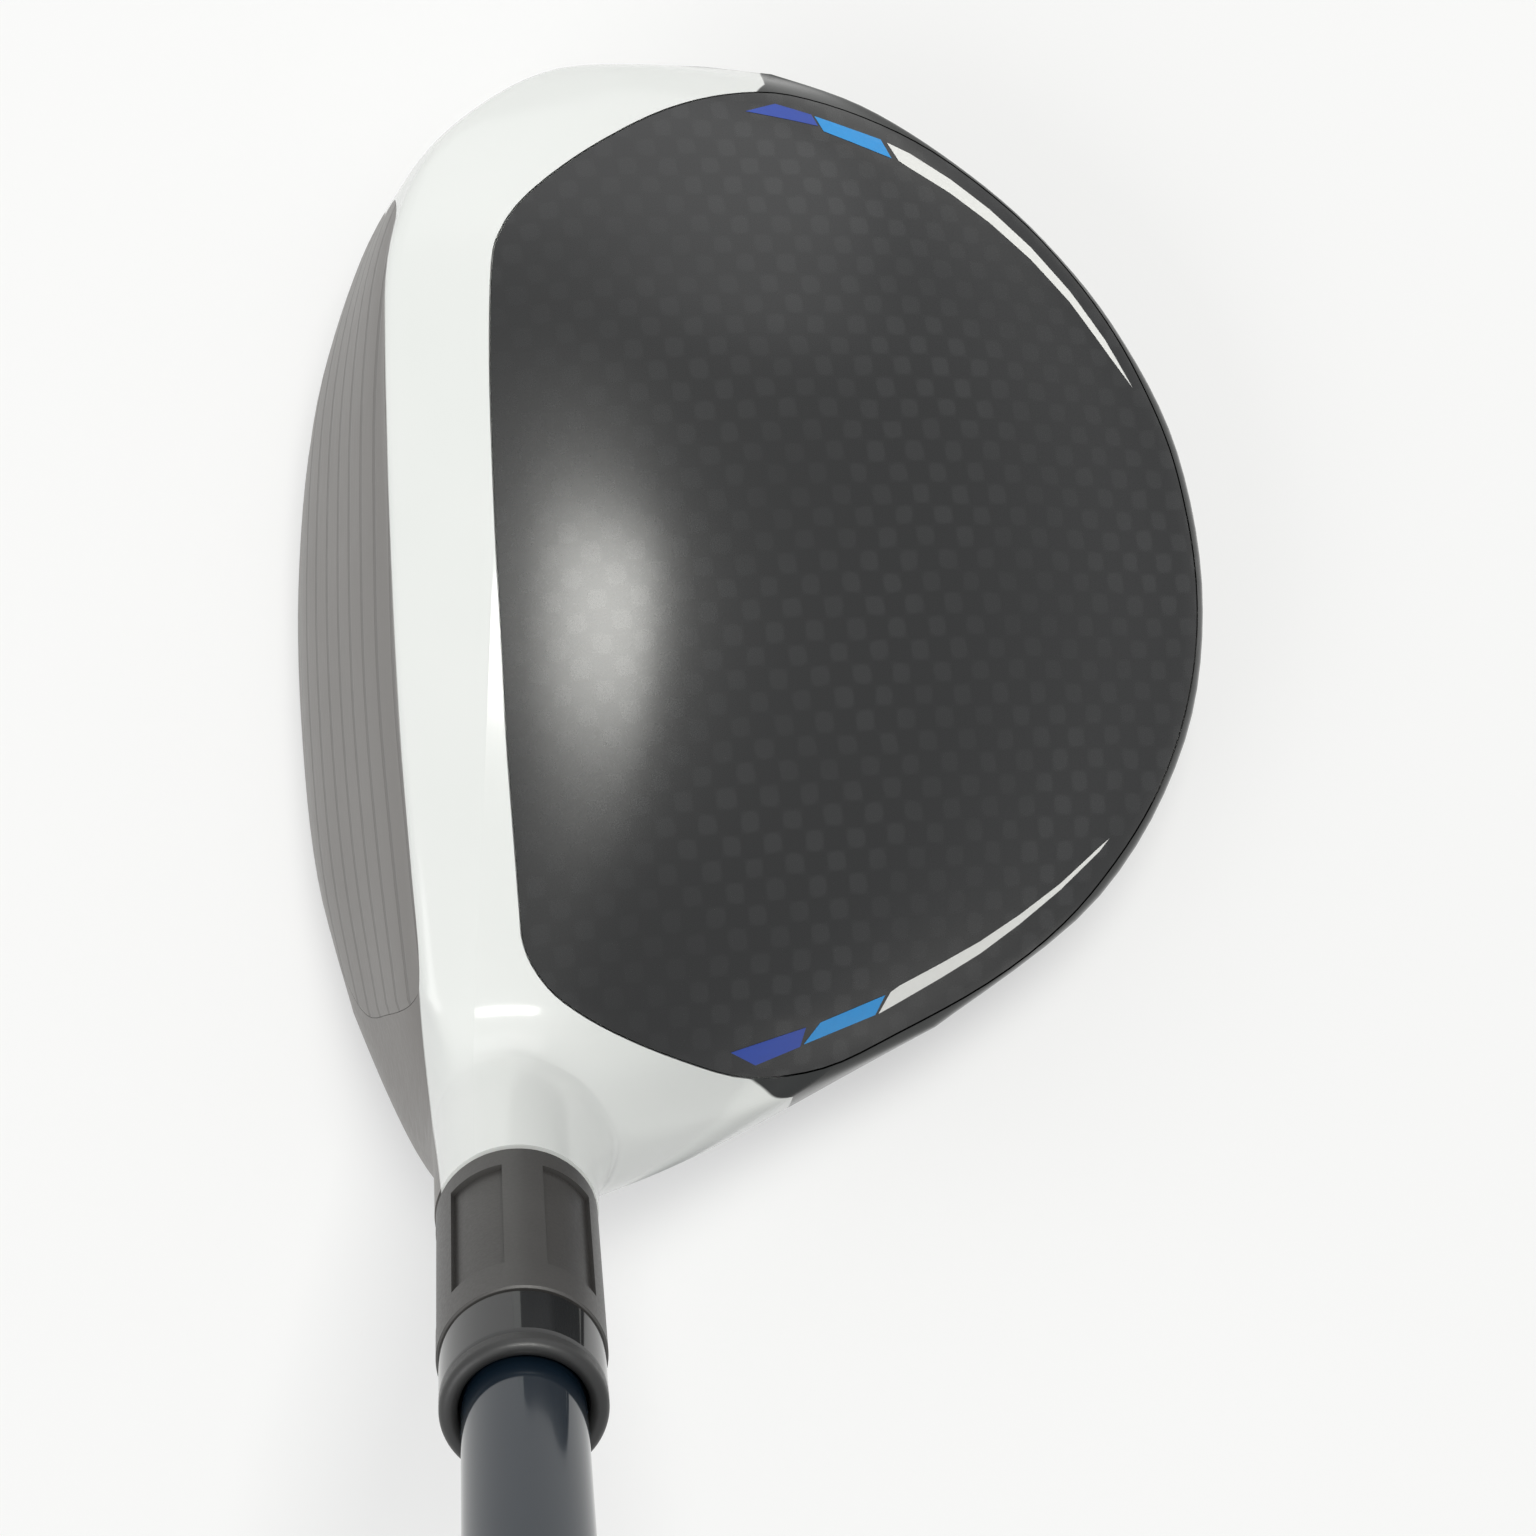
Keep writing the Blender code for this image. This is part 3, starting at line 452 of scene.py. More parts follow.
class Shade:
    def __init__(self, name):
        self.mat = bpy.data.materials.new(name)
        self.mat.use_nodes = True
        self.tree = self.mat.node_tree
        self.main = self.tree.nodes["Principled BSDF"]

    def node(self, kind, **settings):
        n = self.tree.nodes.new(kind)
        for key, value in settings.items():
            setattr(n, key, value)
        return n

    def feed(self, socket, value):
        if isinstance(value, bpy.types.NodeSocket):
            self.tree.links.new(value, socket)
        else:
            socket.default_value = value

    def math(self, op, a, b=None, c=None):
        n = self.node("ShaderNodeMath", operation=op)
        for socket, value in zip(n.inputs, (a, b, c)):
            if value is not None:
                self.feed(socket, value)
        return n.outputs[0]

    def place(self, on_axis=False):
        coord = self.node("ShaderNodeTexCoord").outputs["Object"]
        scale = self.node("ShaderNodeVectorMath", operation="SCALE")
        self.feed(scale.inputs[0], coord)
        scale.inputs["Scale"].default_value = 1.0 / MM
        where = scale.outputs[0]
        if on_axis:
            move = self.node("ShaderNodeVectorMath", operation="SUBTRACT")
            self.feed(move.inputs[0], where)
            move.inputs[1].default_value = (AXIS_X, AXIS_Y, 0.0)
            lean = self.node("ShaderNodeVectorRotate", rotation_type="X_AXIS")
            self.feed(lean.inputs["Vector"], move.outputs[0])
            lean.inputs["Angle"].default_value = -LEAN
            where = lean.outputs[0]
        split = self.node("ShaderNodeSeparateXYZ")
        self.feed(split.inputs[0], where)
        return where, split.outputs[0], split.outputs[1], split.outputs[2]

    def stretch(self, vector, amounts):
        n = self.node("ShaderNodeVectorMath", operation="MULTIPLY")
        self.feed(n.inputs[0], vector)
        n.inputs[1].default_value = amounts
        return n.outputs[0]

    def noise(self, vector, scale, detail=3.0, rough=0.5):
        n = self.node("ShaderNodeTexNoise")
        self.feed(n.inputs["Vector"], vector)
        n.inputs["Scale"].default_value = scale
        n.inputs["Detail"].default_value = detail
        n.inputs["Roughness"].default_value = rough
        return n.outputs[0]

    def span(self, value, low, high, to_low=0.0, to_high=1.0, smooth=True):
        n = self.node("ShaderNodeMapRange", interpolation_type="SMOOTHSTEP" if smooth else "LINEAR")
        for socket, v in zip(n.inputs, (value, low, high, to_low, to_high)):
            self.feed(socket, v)
        return n.outputs[0]

    def vary(self, noise, limits):
        return self.span(noise, *NOISE_RANGE, *limits)

    def tones(self, factor, colours):
        return self.mix(factor, tint(*colours[0]), tint(*colours[1]))

    def mix(self, factor, a, b):
        n = self.node("ShaderNodeMix", data_type="RGBA")
        self.feed(n.inputs[0], factor)
        self.feed(n.inputs[6], a)
        self.feed(n.inputs[7], b)
        return n.outputs[2]

    def blend(self, factor, a, b):
        n = self.node("ShaderNodeMix", data_type="FLOAT")
        self.feed(n.inputs[0], factor)
        self.feed(n.inputs[2], a)
        self.feed(n.inputs[3], b)
        return n.outputs[0]

    def line(self, value, points, low, high):
        curve = self.node("ShaderNodeFloatCurve")
        inside = [p[0] for p in points]
        first, last = min(inside), max(inside)
        shape = curve.mapping.curves[0]
        marks = sorted(((p[0] - first) / (last - first), (p[1] - low) / (high - low)) for p in points)
        shape.points[0].location = marks[0]
        shape.points[1].location = marks[-1]
        for mark in marks[1:-1]:
            shape.points.new(*mark)
        curve.mapping.update()
        self.feed(curve.inputs["Value"], self.span(value, first, last, smooth=False))
        return self.math("MULTIPLY_ADD", curve.outputs[0], high - low, low)

    def bump(self, height, distance, strength=1.0):
        n = self.node("ShaderNodeBump")
        n.inputs["Strength"].default_value = strength
        n.inputs["Distance"].default_value = distance * MM
        self.feed(n.inputs["Height"], height)
        self.feed(self.main.inputs["Normal"], n.outputs[0])

    def set(self, **values):
        for key, value in values.items():
            self.feed(self.main.inputs[key.replace("_", " ")], value)
        return self.mat


# Body paint: bare metal in front of the paint line, white, then a black skirt and sole
PAINT_LINE = ((-60.0, -25.6), (-50.6, -26.2), (-36.1, -28.1), (-24.5, -29.5), (-13.0, -30.8), (-1.2, -31.9),
              (10.9, -32.8), (23.6, -33.5), (40.0, -33.9))
PAINT_LINE_X = (-40.0, -20.0)
PAINT_BLUR = 0.06
PAINT_IOR = 1.5
SKIRT_Y = (-30.0, 40.0)
SKIRT_HEEL = (0.93, 25.2)
SKIRT_TOE = (0.6, 12.9)
SKIRT_Z = (22.0, 27.0)
SKIRT_BLUR = 0.1
SOLE_LINE_Z = 9.0
SOLE_BLUR = 0.15
LIP_X = -23.6
LIP_Y = (4.0, -6.0)
LIP_TILT = 0.13
WHITE_PAINT = ((0.72, 0.74, 0.725), (0.77, 0.78, 0.77))
WHITE_ROUGH = 0.16
BLACK_PAINT = (0.012, 0.0135, 0.013)
BLACK_ROUGH = 0.2
BARE_METAL = ((0.15, 0.142, 0.136), (0.25, 0.238, 0.229))
BARE_ROUGH = (0.36, 0.48)
BARE_METALLIC = 0.85
BARE_RELIEF = 0.01
PEEL_RELIEF = 0.0015


def body_paint():
    s = Shade("body_paint")
    where, x, y, z = s.place()
    grain = s.noise(s.stretch(where, (1.0, 0.05, 1.0)), 4.0, 4.0, 0.6)
    edge = s.math("SUBTRACT", s.line(y, PAINT_LINE, *PAINT_LINE_X), x)
    front = s.span(edge, -PAINT_BLUR, PAINT_BLUR)
    side = s.span(y, *SKIRT_Y)
    slope = s.blend(side, SKIRT_HEEL[0], SKIRT_TOE[0])
    reach = s.blend(side, SKIRT_HEEL[1], SKIRT_TOE[1])
    height = s.math("MAXIMUM", s.math("MINIMUM", z, SKIRT_Z[1]), SKIRT_Z[0])
    climb = s.math("MULTIPLY_ADD", height, slope, x)
    skirt = s.span(s.math("SUBTRACT", climb, reach), -SKIRT_BLUR, SKIRT_BLUR)
    low = s.span(z, SOLE_LINE_Z + SOLE_BLUR, SOLE_LINE_Z - SOLE_BLUR)
    dark = s.math("MAXIMUM", skirt, low)
    white = s.tones(s.noise(where, 0.06, 2.0), WHITE_PAINT)
    painted = s.mix(dark, white, tint(*BLACK_PAINT))
    colour = s.mix(front, painted, s.tones(grain, BARE_METAL))
    rough = s.blend(front, s.blend(dark, WHITE_ROUGH, BLACK_ROUGH), s.vary(grain, BARE_ROUGH))
    peel = s.math("MULTIPLY", s.noise(where, 1.1, 2.0), PEEL_RELIEF)
    fall = s.math("MAXIMUM", s.math("SUBTRACT", x, LIP_X), 0.0)
    lip = s.math("MULTIPLY", s.math("MULTIPLY", fall, s.span(y, *LIP_Y)), s.span(z, *SKIRT_Z))
    coat = s.math("MULTIPLY_ADD", lip, -LIP_TILT, peel)
    s.bump(s.blend(front, coat, s.math("MULTIPLY", grain, BARE_RELIEF)), 1.0)
    return s.set(Base_Color=colour, Metallic=s.math("MULTIPLY", front, BARE_METALLIC), Roughness=rough,
                 IOR=PAINT_IOR)


# Carbon crown: staggered tow spots under a satin lacquer
WEAVE_X = 3.7
WEAVE_Y = 3.9
WEAVE_TURN = math.radians(-8)
WEAVE_SWAY = 0.7
WEAVE_DRIFT = 0.8
SPOT_EDGE = (-0.1, 0.5)
SPOT_PATCH = (0.35, 1.0)
SPOT_FADE_X = (-20.0, 12.0)
SPOT_FADE = (0.5, 1.0)
CARBON_GROUND = ((0.0035, 0.0037, 0.0036), (0.0055, 0.0055, 0.0057))
CARBON_SPOT = (0.0175, 0.018, 0.0185)
CARBON_ROUGH = (0.258, 0.25)
CARBON_RELIEF = 0.3
CARBON_IOR = 1.53
DUST_ROUGH = 0.04


def carbon():
    s = Shade("carbon_lacquer")
    where, x, y, z = s.place()
    turn = s.node("ShaderNodeVectorRotate", rotation_type="Z_AXIS")
    s.feed(turn.inputs["Vector"], where)
    turn.inputs["Angle"].default_value = WEAVE_TURN
    split = s.node("ShaderNodeSeparateXYZ")
    s.feed(split.inputs[0], turn.outputs[0])
    sway = s.math("MULTIPLY_ADD", s.noise(where, 0.33, 2.0), WEAVE_SWAY, split.outputs[0])
    drift = s.math("MULTIPLY_ADD", s.noise(where, 0.27, 2.0), WEAVE_DRIFT, split.outputs[1])
    across = s.math("COSINE", s.math("MULTIPLY", sway, 2 * math.pi / WEAVE_X))
    along = s.math("COSINE", s.math("MULTIPLY", drift, 2 * math.pi / WEAVE_Y))
    check = s.math("MULTIPLY", across, along)
    spot = s.span(check, *SPOT_EDGE)
    patch = s.vary(s.noise(where, 0.06, 3.0), SPOT_PATCH)
    fade = s.span(x, *SPOT_FADE_X, *SPOT_FADE)
    fibre = s.noise(s.stretch(where, (3.0, 0.25, 1.0)), 3.0, 2.0)
    seen = s.math("MULTIPLY", s.math("MULTIPLY", spot, patch), fade)
    colour = s.mix(seen, s.tones(fibre, CARBON_GROUND), tint(*CARBON_SPOT))
    dust = s.noise(where, 9.0, 4.0, 0.7)
    rough = s.math("MULTIPLY_ADD", dust, DUST_ROUGH, s.blend(spot, *CARBON_ROUGH))
    s.bump(s.math("MULTIPLY", s.math("ADD", check, dust), CARBON_RELIEF), 0.008, 0.25)
    return s.set(Base_Color=colour, Roughness=rough, IOR=CARBON_IOR)


# Face: fine heel-to-toe milling with score lines cut at a regular pitch
SCORE_PITCH = 3.4
SCORE_WIDTH = 0.42
SCORE_SHADE = 0.35
SCORE_COLOUR = (0.085, 0.08, 0.077)
FACE_METAL = ((0.163, 0.155, 0.149), (0.285, 0.274, 0.265))
FACE_ROUGH = (0.34, 0.46)
WORN_ROUGH = 0.08
MILL_RELIEF = 0.15


def face_metal():
    s = Shade("face_metal")
    where, x, y, z = s.place()
    grain = s.noise(s.stretch(where, (1.0, 0.04, 1.0)), 5.0, 4.0, 0.65)
    wave = s.math("PINGPONG", z, 0.5 * SCORE_PITCH)
    score = s.span(wave, SCORE_WIDTH, 0.5 * SCORE_WIDTH)
    colour = s.mix(s.math("MULTIPLY", score, SCORE_SHADE), s.tones(grain, FACE_METAL), tint(*SCORE_COLOUR))
    rough = s.math("MULTIPLY_ADD", s.noise(where, 0.09, 3.0), WORN_ROUGH, s.vary(grain, FACE_ROUGH))
    s.bump(s.math("SUBTRACT", s.math("MULTIPLY", grain, MILL_RELIEF), score), 0.09, 0.6)
    return s.set(Base_Color=colour, Metallic=BARE_METALLIC, Roughness=rough)


# Plain metals, plastics and inks
STEEL_ROUGH = (0.24, 0.36)
SMEAR_ROUGH = 0.08
# Sleeve tones: the darker pair is painted shade on the window floors, the lighter pair is the proud collar
SLEEVE_SHADED_WINDOW = ((0.048, 0.046, 0.044), (0.064, 0.061, 0.059))
SLEEVE_UNSHADED_COLLAR = ((0.055, 0.053, 0.051), (0.076, 0.073, 0.071))
SLEEVE_METALLIC = 0.25
SLEEVE_ROUGH = (0.41, 0.49)
INK_ROUGH = (0.28, 0.36)
LACQUER_BLUE = ((0.0045, 0.010, 0.018), (0.0075, 0.018, 0.031))
LACQUER_ROUGH = (0.05, 0.08)
LACQUER_IOR = 1.65
FERRULE_IOR = 1.62


def brushed_steel(name, colours, along, on_axis=False):
    s = Shade(name)
    where = s.place(on_axis)[0]
    grain = s.noise(s.stretch(where, along), 4.0, 4.0, 0.65)
    rough = s.math("MULTIPLY_ADD", s.noise(where, 0.12, 3.0), SMEAR_ROUGH, s.vary(grain, STEEL_ROUGH))
    s.bump(grain, 0.015, 0.5)
    return s.set(Base_Color=s.tones(grain, colours), Metallic=1.0, Roughness=rough)


def moulded(name, colours, rough, scale=2.5, relief=0.02, ior=PAINT_IOR):
    s = Shade(name)
    where = s.place()[0]
    speck = s.noise(where, scale, 4.0, 0.6)
    cloud = s.noise(where, 0.15, 2.0)
    uneven = s.math("MULTIPLY_ADD", cloud, 0.2 * rough, s.vary(speck, (0.9 * rough, 1.1 * rough)))
    s.bump(speck, relief, 0.5)
    return s.set(Base_Color=s.tones(cloud, colours), IOR=ior, Roughness=uneven)


def anodised():
    s = Shade("sleeve_metal")
    where, x, y, z = s.place(on_axis=True)
    reach = s.math("SQRT", s.math("ADD", s.math("MULTIPLY", x, x), s.math("MULTIPLY", y, y)))
    # Painted shade: the window floors are coloured darker than the proud collar around them
    proud = s.span(reach, COLLAR_RADIUS - 0.7 * WINDOW_DEPTH, COLLAR_RADIUS - 0.3 * WINDOW_DEPTH)
    speck = s.noise(where, 3.5, 4.0, 0.6)
    cloud = s.noise(where, 0.15, 2.0)
    colour = s.mix(proud, s.tones(cloud, SLEEVE_SHADED_WINDOW), s.tones(cloud, SLEEVE_UNSHADED_COLLAR))
    s.bump(speck, 0.02, 0.5)
    return s.set(Base_Color=colour, Metallic=SLEEVE_METALLIC, Roughness=s.vary(speck, SLEEVE_ROUGH))


def stripe_ink(name, colours):
    s = Shade(name)
    speck = s.noise(s.place()[0], 1.6, 3.0)
    return s.set(Base_Color=s.tones(speck, colours), Roughness=s.vary(speck, INK_ROUGH))


def lacquer():
    s = Shade("shaft_lacquer")
    where = s.place(on_axis=True)[0]
    flake = s.noise(where, 14.0, 2.0)
    depth = s.noise(s.stretch(where, (1.0, 1.0, 0.02)), 0.4, 2.0)
    colour = s.tones(s.math("MULTIPLY", flake, depth), LACQUER_BLUE)
    return s.set(Base_Color=colour, Roughness=s.vary(flake, LACQUER_ROUGH), IOR=LACQUER_IOR)


# Grip rubber: rows of small lozenges between plain bands, with painted shade in the grooves
GRIP_COUNT = 28
GRIP_PITCH = 4.4
GROOVE_EDGE = (0.36, 0.12)
BAND_LOW = (GRIP_START + 10.0, GRIP_START + 11.0)
BAND_HIGH = (CLUB_LENGTH - 16.0, CLUB_LENGTH - 17.0)
BLACK_RUBBER = ((0.020, 0.020, 0.021), (0.032, 0.032, 0.033))
GROOVE_SHADE = (0.004, 0.004, 0.004)
RUBBER_ROUGH = (0.68, 0.82)
RUBBER_RELIEF = 0.12


def rubber():
    s = Shade("grip_rubber")
    where, x, y, z = s.place(on_axis=True)
    angle = s.math("MULTIPLY", s.math("ARCTAN2", y, x), GRIP_COUNT)
    climb = s.math("MULTIPLY", z, 2 * math.pi / GRIP_PITCH)
    one = s.math("COSINE", s.math("MULTIPLY", s.math("ADD", angle, climb), 0.5))
    two = s.math("COSINE", s.math("MULTIPLY", s.math("SUBTRACT", angle, climb), 0.5))
    cross = s.math("MINIMUM", s.math("ABSOLUTE", one), s.math("ABSOLUTE", two))
    band = s.math("MULTIPLY", s.span(z, *BAND_LOW), s.span(z, *BAND_HIGH))
    cut = s.math("MULTIPLY", s.span(cross, *GROOVE_EDGE), band)
    speck = s.noise(where, 3.0, 4.0, 0.6)
    # Painted shade: the grooves are coloured near black inside the rubber
    colour = s.mix(cut, s.tones(speck, BLACK_RUBBER), tint(*GROOVE_SHADE))
    s.bump(s.math("SUBTRACT", s.math("MULTIPLY", speck, RUBBER_RELIEF), cut), 0.5, 1.0)
    return s.set(Base_Color=colour, Roughness=s.vary(speck, RUBBER_ROUGH))


PAINT = body_paint()
CARBON = carbon()
FACE = face_metal()
SOLE = brushed_steel("sole_steel", ((0.20, 0.20, 0.205), (0.36, 0.36, 0.365)), (0.06, 1.0, 1.0))
SCREW = brushed_steel("screw_steel", ((0.34, 0.34, 0.35), (0.48, 0.48, 0.49)), (1.0, 1.0, 0.1), on_axis=True)
SLOT = moulded("slot_polymer", ((0.022, 0.022, 0.024), (0.032, 0.032, 0.034)), 0.5)
SLEEVE = anodised()
FERRULE = moulded("ferrule_black", ((0.006, 0.0065, 0.007), (0.010, 0.011, 0.012)), 0.07, 1.0, 0.002,
                  FERRULE_IOR)
RIM = moulded("ferrule_rim", ((0.018, 0.018, 0.018), (0.030, 0.030, 0.030)), 0.38, 3.0)
SHAFT = lacquer()
TAPE = moulded("grip_tape", ((0.62, 0.58, 0.46), (0.74, 0.70, 0.58)), 0.75, 4.0, 0.03)
RUBBER = rubber()
CAP = moulded("cap_plastic", BLACK_RUBBER, 0.5)
INKS = {
    "dark": stripe_ink("stripe_dark_blue", ((0.008, 0.045, 0.33), (0.012, 0.058, 0.39))),
    "light": stripe_ink("stripe_light_blue", ((0.0, 0.26, 0.66), (0.006, 0.30, 0.74))),
    "white": stripe_ink("stripe_white", ((0.78, 0.78, 0.76), (0.84, 0.84, 0.82))),
}

# Outlines of the panels
crown_loop = smooth_loop(CROWN_EDGE, CROWN_STEPS)
spread_low, spread_high = CROWN_SPREAD_X
spread = np.clip((crown_loop[:, 0] - spread_low) / (spread_high - spread_low), 0.0, 1.0)
crown_loop += spread[:, None] * (inset_loop(crown_loop, -CROWN_SPREAD) - crown_loop)
face_loop = smooth_loop(FACE_EDGE, FACE_STEPS)


def rounded(value):
    return math.copysign(abs(value) ** (2.0 / SOLE_POWER), value)


sole_turn = [2 * math.pi * k / SOLE_STEPS for k in range(SOLE_STEPS)]
sole_loop = np.array([(SOLE_CENTRE[0] + SOLE_HALF[0] * rounded(math.cos(a)),
                       SOLE_CENTRE[1] + SOLE_HALF[1] * rounded(math.sin(a))) for a in sole_turn])
slot_half = SLOT_WIDTH / 2
slot_turn = [math.pi * k / SLOT_STEPS for k in range(SLOT_STEPS + 1)]
slot_round = [(slot_half * math.cos(a), slot_half * math.sin(a)) for a in slot_turn]
slot_loop = np.array([(SLOT_X + u, SLOT_Y[1] + v) for u, v in slot_round]
                     + [(SLOT_X - u, SLOT_Y[0] - v) for u, v in slot_round])

# Head body with panel seats, bore, spline slots and screw port
body = skin("head_shell")
for name, loop, gap, low, high, along, floor in (
        ("crown", crown_loop, CROWN_GAP, CROWN_FLOOR_Z, REACH, "Z", (0.0, 0.0, -SEAT)),
        ("sole", sole_loop, GAP, -REACH, SOLE_SEAT_Z, "Z", (0.0, 0.0, SEAT)),
        ("slot", slot_loop, GAP, -REACH, SOLE_SEAT_Z, "Z", (0.0, 0.0, SEAT)),
        ("face", face_loop, FACE_GAP, -REACH, AXIS_X, "X", (SEAT, 0.0, 0.0))):
    seat = prism(name + "_seat", inset_loop(loop, -gap), low, high, along)
    carve(seat, skin(name + "_floor", floor))
    carve(body, seat)
groove_low, groove_high = RING_START - FIT, RING_END + FIT
bore_top = NECK_TOP + GAP
carve(body, turned("hosel_bore", [
    (0.0, PORT_LOW), (PORT_RADIUS, PORT_LOW), (PORT_RADIUS, groove_low), (RING_RADIUS + FIT, groove_low),
    (RING_RADIUS + FIT, groove_high), (PORT_RADIUS, groove_high), (PORT_RADIUS, PORT_SEAT),
    (SCREW_HOLE, PORT_SEAT), (SCREW_HOLE, BORE_FLOOR), (BORE_RADIUS, BORE_FLOOR), (BORE_RADIUS, bore_top),
    (0.0, bore_top)]))
slot_depth = SPLINE_SLOT_RADIUS - BORE_RADIUS + BREAK
slot_low = NECK_TOP - SPLINE_LENGTH - FIT
carve(body, axis_boxes("spline_slots", SPLINES, (slot_depth, SPLINE_WIDTH + 2 * FIT, bore_top - slot_low),
                       0.5 * (slot_low + bore_top), SPLINE_SLOT_RADIUS - slot_depth / 2))
dress(body, "head", PAINT, ["head_body"])


# Panels that sit in those seats, each cut from the skin between two shifts of it
def panel(name, loop, low, high, under, along="Z", proud=0.0, added=None):
    piece = prism(name, loop, low, high, along)
    carve(piece, skin(name + "_outside", (0.0, 0.0, proud)), "INTERSECT")
    if added is not None:
        carve(piece, added, "UNION")
    carve(piece, skin(name + "_inside", under))
    return piece


crown = panel("crown_skin", crown_loop, CROWN_FLOOR_Z + GAP, REACH, (0.0, 0.0, -PANEL))
dress(crown, "head", CARBON, ["crown_panel"])
face = panel("face_skin", face_loop, -REACH, AXIS_X, (PANEL, 0.0, 0.0), "X")
dress(face, "head", FACE, ["face_plate"])
keel = bridge("keel", [(x, y, 0.0) for x, y in KEEL_EDGE],
              [(x, y, KEEL_TOP) for x, y in inset_loop(KEEL_EDGE, -KEEL_FLARE)])
sole = panel("sole_skin", sole_loop, -REACH, SOLE_SEAT_Z - GAP, (0.0, 0.0, PANEL), added=keel)
dress(sole, "head", SOLE, ["sole_plate"])
strip = panel("slot_strip", slot_loop, -REACH, SOLE_SEAT_Z - GAP, (0.0, 0.0, PANEL))
dress(strip, "head", SLOT, ["slot_insert"])

# Stripes laid on the crown
for name, outline in STRIPES.items():
    stripe = panel(name, outline, CROWN_FLOOR_Z + GAP, REACH, (0.0, 0.0, -STRIPE_SINK), proud=STRIPE_PROUD)
    dress(stripe, "head", INKS[name.split("_")[-1]])

# Sleeve with splines and shallow windows
edge = 0.5 * GAP
collar_low = NECK_TOP + GAP
sleeve = turned("sleeve_fine", [
    (THREAD_RADIUS, SLEEVE_BASE), (BARREL_RADIUS - BREAK, SLEEVE_BASE), (BARREL_RADIUS, SLEEVE_BASE + BREAK),
    (BARREL_RADIUS, collar_low), (COLLAR_RADIUS - edge, collar_low), (COLLAR_RADIUS, collar_low + edge),
    (COLLAR_RADIUS, SLEEVE_TOP - edge), (COLLAR_RADIUS - edge, SLEEVE_TOP), (TIP_BORE, SLEEVE_TOP),
    (TIP_BORE, TIP_FLOOR), (THREAD_RADIUS, TIP_FLOOR - TIP_BORE + THREAD_RADIUS)])
tooth = SPLINE_RADIUS - BARREL_RADIUS + BREAK
tooth_low = NECK_TOP - SPLINE_LENGTH
tooth_high = collar_low + BREAK
carve(sleeve, axis_boxes("spline_teeth", SPLINES, (tooth, SPLINE_WIDTH, tooth_high - tooth_low),
                         0.5 * (tooth_low + tooth_high), SPLINE_RADIUS - tooth / 2), "UNION")
windows = axis_boxes("windows", WINDOWS, (COLLAR_RADIUS, WINDOW_WIDTH, WINDOW_LENGTH), WINDOW_MIDDLE,
                     COLLAR_RADIUS, WINDOW_TURN)
window_floor = COLLAR_RADIUS - WINDOW_DEPTH
carve(windows, turned("window_floor", [(0.0, SLEEVE_BASE), (window_floor, SLEEVE_BASE),
                                       (window_floor, FERRULE_TOP), (0.0, FERRULE_TOP)]))
carve(sleeve, windows)
dress(sleeve, "shaft_assembly", SLEEVE, ["loft_sleeve"])

# Ferrule: a glossy band with a rounded matt rim
mouth = SHAFT_FERRULE_RADIUS + FIT
lip = 0.5 * (FERRULE_RADIUS - mouth)
rim_start = FERRULE_TOP - 2 * lip
rim_turn = [math.pi * k / RIM_STEPS for k in range(RIM_STEPS + 1)]
rim_round = [(mouth + lip + lip * math.cos(a), FERRULE_TOP - lip + lip * math.sin(a)) for a in rim_turn]
band = turned("ferrule_band", [
    (mouth, FERRULE_START), (FERRULE_RADIUS, FERRULE_START), (FERRULE_RADIUS, rim_start - BREAK),
    (FERRULE_RADIUS - FERRULE_STEP, rim_start), (mouth, rim_start)])
dress(band, "shaft_assembly", FERRULE, ["ferrule"])
rim = turned("ferrule_rim", [(mouth, rim_start), (FERRULE_RADIUS, rim_start)] + rim_round)
dress(rim, "shaft_assembly", RIM)

# Screw with its six-lobe socket
screw = turned("screw_fine", [
    (0.0, HEAD_START + SOCKET_DEPTH), (SOCKET_RADIUS, HEAD_START + SOCKET_DEPTH), (SOCKET_RADIUS, HEAD_START),
    (SCREW_HEAD_RADIUS - BREAK, HEAD_START), (SCREW_HEAD_RADIUS, HEAD_START + BREAK),
    (SCREW_HEAD_RADIUS, HEAD_END), (SCREW_RADIUS, HEAD_END), (SCREW_RADIUS, SCREW_END - 2 * BREAK),
    (SCREW_RADIUS - 2 * BREAK, SCREW_END), (0.0, SCREW_END)])
carve(screw, axis_boxes("socket_lobes", LOBES, (2 * LOBE_DEPTH, LOBE_WIDTH, SOCKET_DEPTH + GAP),
                        HEAD_START + 0.5 * (SOCKET_DEPTH - GAP) - FIT, SOCKET_RADIUS))
dress(screw, "screw", SCREW, ["sleeve_screw"])


# Shaft, grip and cap
def shaft_radius(s):
    if s <= SLEEVE_TOP - GAP:
        return SHAFT_TIP_RADIUS
    if s <= FERRULE_TOP:
        rise = (s - SLEEVE_TOP + GAP) / (FERRULE_TOP - SLEEVE_TOP + GAP)
        return SHAFT_TIP_RADIUS + (SHAFT_FERRULE_RADIUS - SHAFT_TIP_RADIUS) * rise
    f = min(1.0, (s - FERRULE_TOP) / (BUTT_START - FERRULE_TOP))
    return SHAFT_FERRULE_RADIUS + (SHAFT_BUTT_RADIUS - SHAFT_FERRULE_RADIUS) * f


stops = [SHAFT_TIP, SLEEVE_TOP - GAP, FERRULE_TOP, GRIP_START, BUTT_START, SHAFT_END]
shaft = turned("shaft_fine", [(shaft_radius(s), s) for s in stops]
               + [(shaft_radius(s) - SHAFT_WALL, s) for s in reversed(stops)])
dress(shaft, "shaft_assembly", SHAFT, ["shaft"])

